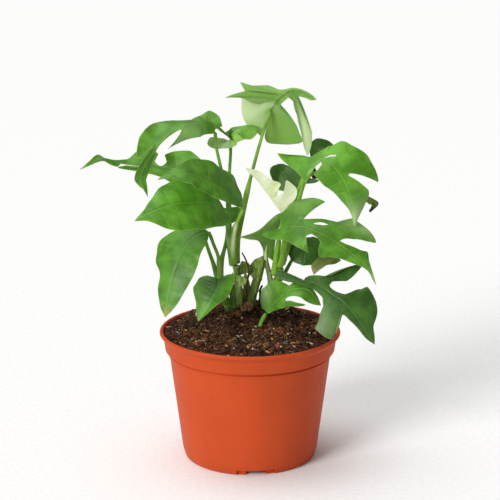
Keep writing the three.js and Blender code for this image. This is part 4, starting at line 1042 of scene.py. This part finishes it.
# share of the stalk that the sheath wraps, how far its wings stand out in mm, how cream it is
sheaths = {
    "top": (0.56, 1.0, 0.0), "domed": (0.75, 1.2, 0.95), "heart": (0.55, 0.9, 0.45),
    "drooping": (0.50, 1.0, 0.10), "new": (0.62, 0.9, 0.0), "inner_left": (0.80, 0.6, 0.90),
    "upper_right": (0.35, 0.5, 0.0), "mid_right": (0.55, 0.5, 0.0), "small_middle": (0.25, 0.5, 0.1),
}
plainSheath = (0.22, 0.7, 0.2)
stalkShape = {
    "radius": 1.75, "taper": 0.45, "clasp": 0.9, "claspLength": 7,      # mm
    "kneeDown": 4, "kneeLength": 3.5, "kneeGrowth": 0.22,   # mm, mm, share of the radius
    "groove": 0.16, "grooveTurn": 0.5,      # share of the radius, and radians either side of the front
    "wingTurns": (1.35, 4.75), "wingSpread": 0.24,          # radians round the stalk
    "sheathFade": 0.10,                     # share of the stalk over which the sheath runs out
    "creamTurn": 1.25, "creamFrom": 5, "creamFade": 16,     # radians, mm up the stalk, mm
}


def addStalk(name, leaf, material):
    # round stalk: wide clasping foot, thin wing along each side of the sheath, knee under the blade
    share, wing, cream = sheaths.get(name, plainSheath)
    shape = stalkShape
    front = math.pi

    def wrapped(gap, length):
        return np.clip((share - gap / length) / shape["sheathFade"], 0, 1)

    def oneWing(turn, middle):
        return np.exp(-((turn - middle) / shape["wingSpread"]) ** 2)

    def radius(gap, length, turn):
        clasp = shape["clasp"] * np.exp(-gap / shape["claspLength"])
        slim = shape["radius"] - shape["taper"] * gap / length + clasp
        knee = shape["kneeGrowth"] * np.exp(-((length - gap - shape["kneeDown"]) / shape["kneeLength"]) ** 2)
        groove = shape["groove"] * np.exp(-((turn - front) / shape["grooveTurn"]) ** 2)
        wings = sum(oneWing(turn, middle) for middle in shape["wingTurns"])
        return slim * (1 + knee - groove) + wing * wrapped(gap, length) * wings

    def carried(gap, length, turn):
        inside = np.exp(-((turn - front) / shape["creamTurn"]) ** 4)
        inside = inside * np.clip((gap - shape["creamFrom"]) / shape["creamFade"], 0, 1)
        dried = wrapped(gap, length) * oneWing(turn, shape["wingTurns"][1])
        return dried, cream * wrapped(gap, length) * inside

    return addRod("petiole_" + name, "stalk_" + name, leaf["stalk"], radius, material, carried)


# radius at foot and top in mm, and the centre line
stemTable = {
    "middle": (4.5, 3, [[-8, 17, 104], [-8, 16, 124], [-9, 11, 143], [-11, 6, 159], [-12, 3, 173]]),
    "left": (4.2, 2.8, [[-16, 14, 104], [-17, 13, 124], [-21, 6, 140], [-26, -4, 156]]),
    "right": (3, 2, [[0, 18, 104], [1, 17, 126], [4, 14, 143], [9, 9, 162], [12, 6, 177]]),
    "far": (3.8, 2.8, [[17, 19, 104], [18, 18, 124], [20, 14, 141], [24, 9, 158], [27, 5, 170]]),
}
rootTable = {
    "front": (1.3, 0.6, [[-3, 2, 144], [-3, -1, 157], [-1, -4, 168], [-3, -5, 178], [-7, -6, 187]]),
    "back": (1.6, 0.9, [[8, 18, 118], [8, 17, 130], [9, 15, 140], [9, 13, 147], [11, 12, 152]]),
}
# leaf scars: mm between them, how far the ring is raised and how wide it is, how far it is tilted
scarShape = {"spacing": 12.5, "swell": 0.55, "width": 1.5, "tilt": 1.2}


def addStem(name, foot, top, path, material):
    # tapering stem, slightly three-sided, with a raised and tilted ring at every leaf scar
    def rings(gap, turn):
        off = (gap + scarShape["tilt"] * np.cos(turn)) % scarShape["spacing"] - scarShape["spacing"] / 2
        return np.exp(-(off / scarShape["width"]) ** 2)

    def radius(gap, length, turn):
        plain = foot + (top - foot) * gap / length
        return plain * (1 + 0.05 * np.cos(3 * turn + gap / 6)) + scarShape["swell"] * rings(gap, turn)

    def carried(gap, length, turn):
        return rings(gap, turn), 0 * gap

    return addRod("cane_" + name, "stem_" + name, path, radius, material, carried)


def addRoot(name, foot, top, path, material):
    # thin root, knotted along its length
    def radius(gap, length, turn):
        plain = foot + (top - foot) * gap / length
        knots = 0.16 * np.sin(gap * 0.9) * np.cos(turn + gap * 0.4) + 0.10 * np.sin(gap * 2.3)
        return plain * (1 + knots)

    def carried(gap, length, turn):
        return 0 * gap, 0 * gap

    return addRod("spur_" + name, "root_" + name, path, radius, material, carried)


potShape = {
    "collarDrop": 17, "lipDrop": 5.6,       # mm below the brim
    "bodyTopRadius": 71.5, "heelRadius": 60.4, "heelHeight": 8, "footRadius": 58.2,
    "wall": 1.5, "footWidth": 6, "floorLift": 5, "corner": 1.0,
    "notches": 3, "notchTurn": -84.5, "notchHalf": 17, "notchInnerHalf": 9, "notchHeight": 4.5,
    "notchDepth": 2, "notchSoft": 0.3,      # mm
    "drains": 4, "drainRadius": 5, "drainCircle": 34,
    "innerShadeIn": 2.4, "innerShadeFade": 1.2,         # mm in from the rim where the painted shade starts, mm it takes
    "dustDown": 2.2, "dustFade": 1.4,       # the same for the lip's dust, in mm below the brim
    "turns": 330, "longest": 3.2,           # columns round the pot, and mm between rings
}


def rounded(points, radius):
    # the closed outline with each corner replaced by a short curve, then long runs split up, with an
    # extra point close to each end of a run so that shading stays flat along it
    made = []
    count = len(points)
    for k in range(count):
        before, corner, after = (np.array(points[(k + d) % count], float) for d in (-1, 0, 1))
        reach = min(radius, 0.42 * np.linalg.norm(before - corner), 0.42 * np.linalg.norm(after - corner))
        start = corner + (before - corner) / np.linalg.norm(before - corner) * reach
        stop = corner + (after - corner) / np.linalg.norm(after - corner) * reach
        for f in np.linspace(0, 1, 5):
            made.append((1 - f) ** 2 * start + 2 * f * (1 - f) * corner + f ** 2 * stop)
    outline = [made[0]]
    close = 0.3
    for point in made[1:] + made[:1]:
        gap = np.linalg.norm(point - outline[-1])
        pieces = max(1, math.ceil(gap / potShape["longest"]))
        shares = np.linspace(0, 1, pieces + 1)[1:]
        if gap > 4 * close:
            shares = np.unique(np.concatenate([[close / gap], shares[:-1], [1 - close / gap, 1]]))
        start = outline[-1]
        outline += [start + (point - start) * f for f in shares]
    return np.array(outline[:-1])


def potOutline():
    # wall and floor cut through on one side: radius and height, going round the wall's section
    shape = potShape
    step, lip = potHeight - shape["collarDrop"], potHeight - shape["lipDrop"]
    foot, heel, body = shape["footRadius"], shape["heelRadius"], shape["bodyTopRadius"]
    wall, floor, drain = shape["wall"], shape["floorLift"], shape["drainRadius"]
    notch, inner = shape["notchHeight"], foot - shape["footWidth"]
    flare = (heel - foot) / shape["heelHeight"]
    return [
        (foot - 1, 0), (foot, 0.8), (foot + flare * (notch - 0.1), notch - 0.1),
        (foot + flare * (notch + 0.1), notch + 0.1), (heel, shape["heelHeight"]),
        (body - 0.2, step - 5.2), (body + 0.7, step - 4.7), (body + 0.7, step - 3.2),
        (body - 0.3, step - 2.6), (body - 0.1, step - 1.0), (body + 2.7, step - 0.9),
        (rimRadius - 5, step), (rimRadius - 3.4, lip - 0.6), (rimRadius - 1.8, lip + 1.2),
        (rimRadius, lip + 3.2), (rimRadius - 0.2, potHeight - 1), (rimRadius - 1.2, potHeight),
        (rimRadius - 2.6, potHeight), (rimRadius - 3.6, potHeight - 1), (rimRadius - 4.8, lip - 1),
        (rimRadius - 6.5, step + 1.4), (body - wall, step - 0.4), (heel - wall - 0.6, floor + wall),
        (drain, floor + wall), (drain, floor), (inner, floor), (inner, 0),
    ]


def addPot(material):
    # the outline turned once round, with columns set where the notches in the foot begin and end;
    # in a notch the foot's points are moved in, and nearer its middle they are moved up as well
    shape = potShape
    outline = rounded(potOutline(), shape["corner"])
    middles = math.radians(shape["notchTurn"]) + 2 * math.pi * np.arange(shape["notches"]) / shape["notches"]
    soft = shape["notchSoft"]
    edges = np.array([side * (half + off) / shape["footRadius"] for side in (-1, 1)
                      for half in (shape["notchHalf"], shape["notchInnerHalf"])
                      for off in (-soft / 2, soft / 2)])
    turn = np.concatenate([np.linspace(0, 2 * math.pi, shape["turns"], endpoint=False),
                           (middles[:, None] + edges[None]).ravel() % (2 * math.pi)])
    turn = np.unique(np.round(turn, 6))
    off = (turn[:, None] - middles[None] + math.pi) % (2 * math.pi) - math.pi
    off = np.abs(off).min(1) * shape["footRadius"]
    inOuter = np.clip((shape["notchHalf"] - off) / soft + 0.5, 0, 1)[:, None]
    inInner = np.clip((shape["notchInnerHalf"] - off) / soft + 0.5, 0, 1)[:, None]
    r, z = outline[:, 0][None, :], outline[:, 1][None, :]
    low = z < shape["notchHeight"]
    recess = shape["footRadius"] - shape["notchDepth"]
    r = np.where(low, r - np.maximum(r - recess, 0) * inOuter, r)
    z = np.where(low, z + (shape["notchHeight"] - z) * inInner, z)
    z = np.broadcast_to(z, r.shape)
    points = np.stack([r * np.cos(turn)[:, None], r * np.sin(turn)[:, None], z], -1)
    # how far inside the lip a point lies, for its painted shade, and how much soil dust its top carries: most
    # at the back
    inside = np.clip((rimRadius - shape["innerShadeIn"] - r) / shape["innerShadeFade"], 0, 1)
    inside = inside * (z > potHeight - shape["collarDrop"])
    lipTop = np.clip((z - potHeight + shape["dustDown"]) / shape["dustFade"], 0, 1)
    lipTop = lipTop * (0.45 + 0.45 * np.sin(turn)[:, None])
    piece = makePiece("pot_shell", points, ringFaces(len(turn), len(outline), joined=True), material,
                      ["pot"], {"potPlace": np.stack([inside, lipTop, 0 * z], -1)}, sharp=40)
    drill(piece)
    return piece


def drill(piece):
    # cuts the round drain holes out of the pot's floor
    shape = potShape
    tool = bmesh.new()
    for k in range(shape["drains"]):
        turn = math.pi / 4 + 2 * math.pi * k / shape["drains"]
        place = Vector((math.cos(turn), math.sin(turn), 0)) * shape["drainCircle"] * millimetre
        place += Vector((seat[0], seat[1], (shape["floorLift"] + 1) * millimetre))
        radius = shape["drainRadius"] * millimetre
        bmesh.ops.create_cone(tool, cap_ends=True, segments=40, radius1=radius, radius2=radius,
                              depth=12 * millimetre, matrix=Matrix.Translation(place))
    mesh = bpy.data.meshes.new("drainTool")
    tool.to_mesh(mesh)
    tool.free()
    cutter = bpy.data.objects.new("drainTool", mesh)
    bpy.context.scene.collection.objects.link(cutter)
    change = piece.modifiers.new("drains", "BOOLEAN")
    change.object = cutter
    change.solver = "EXACT"
    depsgraph = bpy.context.evaluated_depsgraph_get()
    cut = bpy.data.meshes.new_from_object(piece.evaluated_get(depsgraph), depsgraph=depsgraph)
    piece.modifiers.clear()
    piece.data = cut
    bpy.data.objects.remove(cutter)


soilShape = {
    "edge": 113.3, "mound": 6,                          # mm: level at the wall, rise to the middle
    "hump": 12, "humpReach": 40, "humpCentre": (-3, 20),
    "lumps": [(9.0, 1.3), (4.2, 0.95), (1.9, 0.55)],    # mm between bumps, mm high
    "gap": 0.4,                                         # mm left between soil and pot
    "turns": 420, "rings": 110,
    "damp": (16, 0.8, 0.6, 0.2, 1.2),       # damp patches: mm across, then middle, swing, least and
}                                           # most of the share that they leave of a bit's tint


def soilRadius():
    # inside of the pot's wall at the level of the soil
    return rimRadius - 4.1 - soilShape["gap"]


def soilTop(x, y):
    # level at the wall, mounded to the middle, humped where the root ball stands up under the stems,
    # with broad swells and finer and finer lumps
    r, turn = np.hypot(x, y), np.arctan2(y, x)
    share = np.minimum(r / (rimRadius - 5), 1)
    swells = 0.8 * np.sin(3 * turn + r / 9) + 0.6 * np.sin(5 * turn - r / 6)
    off = np.hypot(x - soilShape["humpCentre"][0], y - soilShape["humpCentre"][1])
    hump = soilShape["hump"] * np.exp(-(off / soilShape["humpReach"]) ** 2) * (1 - share ** 8)
    mound = soilShape["mound"] + swells * np.minimum(1, r / 20)
    height = soilShape["edge"] + hump + mound * (1 - share ** 4)
    for number, (size, tall) in enumerate(soilShape["lumps"]):
        height = height + tall * hills(x, y, size, seeds["lump"] + number)
    return height


def addSoil(material):
    # rings from the middle of the floor, up the wall, and over the top to the middle again
    shape = soilShape
    floor = potShape["floorLift"] + potShape["wall"] + shape["gap"]
    step = potHeight - potShape["collarDrop"]
    inner = potShape["wall"] + shape["gap"]
    turn = np.linspace(0, 2 * math.pi, shape["turns"], endpoint=False)
    side = [(0.3, floor), (20, floor), (45, floor), (potShape["heelRadius"] - 0.6 - inner, floor),
            (potShape["bodyTopRadius"] - inner, step), (rimRadius - 6.5 - shape["gap"], step + 2)]
    radius = np.concatenate([[r for r, _ in side], soilRadius() * np.linspace(1, 0.004, shape["rings"])])
    x, y = radius[:, None] * np.cos(turn), radius[:, None] * np.sin(turn)
    z = soilTop(x, y)
    z[:len(side)] = np.array([height for _, height in side])[:, None]
    points = np.stack([x, y, z], -1)
    return makePiece("soil_bed", points, ringFaces(len(radius), shape["turns"]), material, ["soil"])


# loose bits on the soil: how many, length of each in mm (least, most), width and thickness as shares
# of the length, the rings and sides of one bit, its dents, how far it stands out of the soil, how
# they crowd to the front (0 evenly), and the finish: name, dark, light, speckle in mm, relief in mm,
# roughness
bitTable = {
    "crumbs": {
        "count": 4600, "size": (0.9, 4.2), "flat": (0.72, 0.55), "rings": 4, "sides": 6,
        "jitter": 0.50, "lift": 0.30, "front": 0.0,
        "finish": ("peatCrumb", "0d0703", "74401f", 0.7, 0.20, 0.9),
    },
    "clods": {
        "count": 320, "size": (2.2, 6.0), "flat": (0.70, 0.60), "rings": 5, "sides": 8,
        "jitter": 0.42, "lift": 0.15, "front": 0.3,
        "finish": ("redPeatClod", "2e150b", "8a4d2e", 0.9, 0.30, 0.9),
    },
    "flakes": {
        "count": 2100, "size": (1.2, 5.2), "flat": (0.24, 0.12), "rings": 4, "sides": 6,
        "jitter": 0.30, "lift": 0.60, "front": 0.25,
        "finish": ("barkFlake", "6b3a1a", "d2a062", 0.8, 0.12, 0.8),
    },
    "perlite": {
        "count": 120, "size": (0.8, 2.2), "flat": (0.85, 0.75), "rings": 5, "sides": 8,
        "jitter": 0.25, "lift": 0.45, "front": 0.5,
        "finish": ("perlite", "b9b2a6", "f4f1ea", 0.6, 0.20, 0.8),
    },
    "chips": {
        "count": 60, "size": (3.5, 8.0), "flat": (0.34, 0.17), "rings": 6, "sides": 8,
        "jitter": 0.18, "lift": 0.60, "front": 0.3,
        "finish": ("barkChip", "a8743f", "e6c79c", 0.9, 0.20, 0.8),
    },
}
# where the first chips lie, and their lengths, in mm
chipPlaces = [(15, -66, 8.5), (51, -42, 8.5), (28, -52, 6.0), (-44, -42, 7.0), (4, -60, 5.0), (-38, -22, 7.5),
              (-56, -12, 6.0), (55, -20, 6.0), (36, -44, 7.0), (-20, -56, 5.5)]


def turned(rng, count, tilt):
    # random turns about the upright, each with a random tilt away from level: a matrix for each
    spin, lean, _ = rng.uniform(0, 2 * math.pi, (3, count)) * np.array([[1], [tilt], [1]])
    c, s, z = np.cos(spin), np.sin(spin), np.zeros(count)
    upright = np.stack([np.stack([c, -s, z], -1), np.stack([s, c, z], -1), np.stack([z, z, z + 1], -1)], 1)
    c, s = np.cos(lean), np.sin(lean)
    tipped = np.stack([np.stack([z + 1, z, z], -1), np.stack([z, c, -s], -1), np.stack([z, s, c], -1)], 1)
    return upright @ tipped


def addBits(name, look, seed, places=()):
    # one lumpy pebble repeated: each gets its own size, turn, dents and place on the soil
    rng = np.random.default_rng(seed)
    count = look["count"]
    high = np.linspace(0.08, 0.92, look["rings"]) * math.pi
    around = np.linspace(0, 2 * math.pi, look["sides"], endpoint=False)
    pebble = np.stack([np.sin(high)[:, None] * np.cos(around), np.sin(high)[:, None] * np.sin(around),
                       np.broadcast_to(np.cos(high)[:, None], (look["rings"], look["sides"]))], -1)
    pebble = pebble.reshape(1, -1, 3)[..., [2, 0, 1]]
    dents = rng.uniform(1 - look["jitter"], 1 + look["jitter"], (count, pebble.shape[1], 1))
    small, large = look["size"]
    size = small + (large - small) * rng.uniform(0, 1, count) ** 2.2
    r = (soilRadius() - 2) * np.sqrt(rng.uniform(0, 1, count))
    turn = rng.uniform(0, 2 * math.pi, count)
    turn = turn - look["front"] * np.sin(turn + math.pi / 2)
    x, y = r * np.cos(turn), r * np.sin(turn)
    if places:
        x[:len(places)], y[:len(places)], size[:len(places)] = np.array(places).T
    scale = size[:, None] / 2 * np.array([1, *look["flat"]])
    shape = pebble * dents * scale[:, None, :]
    # thin bits lie nearly level, others at any tilt
    tilt = 0.05 if look["flat"][1] < 0.3 else 1.0
    shape = np.einsum("nij,nvj->nvi", turned(rng, count, tilt), shape)
    centre = np.stack([x, y, soilTop(x, y) + look["lift"] * size * look["flat"][1]], -1)
    points = shape + centre[:, None]
    one = ringFaces(look["rings"], look["sides"])
    faces = one[None] + (np.arange(count) * pebble.shape[1])[:, None, None]
    across, middle, swing, least, most = soilShape["damp"]
    damp = np.clip(middle + swing * hills(x + 90, y + 90, across, seeds["damp"]), least, most)
    tint = np.repeat(rng.uniform(0, 1, count) ** 1.3 * damp, pebble.shape[1])
    return makePiece("soil_" + name, points, faces.reshape(-1, 4), bitMaterial(*look["finish"]),
                     ["soil"], {"tint": tint})


fibreShape = {
    "count": 1300,
    "length": (2.5, 9),     # mm
    "bend": 2.4,            # radians from end to end, at the most, either way
    "arch": (0.2, 1.6),     # mm
    "thick": (0.09, 0.26),  # mm, half of its width
    "lift": 0.25,           # mm above the soil
    "clear": 9,             # mm kept free along the wall
    "steps": 7,
    "finish": ("coirFibre", "4a2a14", "c89c60", 1.5, 0.1, 0.75),
}


def addFibres(seed):
    # fine root hairs and coir strands: short arched tubes with four sides
    rng = np.random.default_rng(seed)
    shape = fibreShape
    count, steps = shape["count"], shape["steps"]

    def drawn(least, most):
        return rng.uniform(least, most, count)[:, None]

    t = np.linspace(-0.5, 0.5, steps)
    length = drawn(*shape["length"])
    turn = drawn(0, 2 * math.pi)
    bend = drawn(-shape["bend"], shape["bend"])
    r = (soilRadius() - shape["clear"]) * np.sqrt(drawn(0, 1))
    about = drawn(0, 2 * math.pi)
    heading = turn + bend * t
    x = r * np.cos(about) + length * t * np.cos(heading)
    y = r * np.sin(about) + length * t * np.sin(heading)
    arch = drawn(*shape["arch"]) * (1 - 4 * t ** 2)
    line = np.stack([x, y, soilTop(x, y) + shape["lift"] + arch], -1)
    across = np.stack([-np.sin(heading), np.cos(heading), 0 * heading], -1)
    up = np.array([0.0, 0.0, 1.0])
    thick = (drawn(*shape["thick"]) * (1 - (1.8 * t) ** 4 * 0.9))[..., None]
    ring = np.stack([line + across * thick, line + up * thick, line - across * thick, line - up * thick], 2)
    one = ringFaces(steps, 4)
    faces = one[None] + (np.arange(count) * steps * 4)[:, None, None]
    tint = np.repeat(drawn(0, 1)[:, 0] ** 1.8, steps * 4)
    return makePiece("soil_fibres", ring, faces.reshape(-1, 4), bitMaterial(*shape["finish"]),
                     ["soil"], {"tint": tint})


floorHalf = 4.0  # metres


def addFloor():
    # plain matt white board, barely mottled
    material, tree, place = newMaterial("paintedBoard")
    mottle, = mottles(tree, place, [(4, 2, 0.3, 0.7)])
    colour = painted(tree, linear("f5f5f4"), [(mottle, 1.0, "fbfbfa")])
    finishMaterial(tree, colour, 0.85, relief(tree, [(mottle, 0.03)]))
    corners = [(floorHalf * i, floorHalf * j, 0) for i, j in ((-1, -1), (1, -1), (1, 1), (-1, 1))]
    mesh = bpy.data.meshes.new("floor")
    mesh.from_pydata(corners, [], [(0, 1, 2, 3)])
    mesh.materials.append(material)
    floor = bpy.data.objects.new("floor", mesh)
    bpy.context.scene.collection.objects.link(floor)


def addSurround(seen, light):
    # a plain white surround: bright where it is looked at, dimmer as a source of light
    world = bpy.data.worlds.new("studio")
    world.use_nodes = True
    tree = world.node_tree
    tree.nodes.clear()
    direct = addNode(tree, "LightPath", out="Is Camera Ray")
    strength = addNode(tree, "MapRange", {0: direct, 3: light, 4: seen})
    surround = addNode(tree, "Background", {"Color": (1, 1, 1, 1), "Strength": strength})
    addNode(tree, "OutputWorld", {"Surface": surround}, out=None)
    bpy.context.scene.world = world
    bpy.context.scene.view_settings.view_transform = "Standard"


addCamera()
addLights()
addSurround(seen=1.0, light=0.26)
addFloor()
print("camera, lights and floor placed")

skins = {}
for number, (name, leaf) in enumerate(leafTable.items()):
    tone, tip = paintedLightTones.get(name, leaf["tone"]), leafTips.get(name)
    label = "leafCuticle_" + (name if tip else tone)
    if label not in skins:
        skins[label] = leafMaterial(label, tone, tip)
    addBlade("blade_" + name, "leaf_" + name, leaf, skins[label],
             leafHoles.get(name, ()), paintedLightPatches.get(name, ()), seeds["leaf"] + number)
print("leaf blades made")

stalkSkin, stemBark, rootFibre = stalkMaterial(), stemMaterial(), fibreMaterial("root")
for name, leaf in leafTable.items():
    addStalk(name, leaf, stalkSkin)
for name, stem in stemTable.items():
    addStem(name, *stem, stemBark)
for name, root in rootTable.items():
    addRoot(name, *root, rootFibre)
print("stalks, stems and roots made")

for number, (name, scale) in enumerate(scaleTable.items()):
    addBlade("husk_" + name, "scale_" + name, scale, fibreMaterial(name),
             seed=seeds["husk"] + number, thick=huskThick)
addBlade("husk_dried", "stalk_back_right", driedHusk, fibreMaterial("dried"),
         seed=seeds["dried"], thick=driedThick)
print("scale leaves made")

addPot(potMaterial())
print("pot made")

addSoil(soilMaterial())
for number, (name, look) in enumerate(bitTable.items()):
    addBits(name, look, seeds["bit"] + number, chipPlaces if name == "chips" else ())
addFibres(seeds["fibre"])
print("soil made")
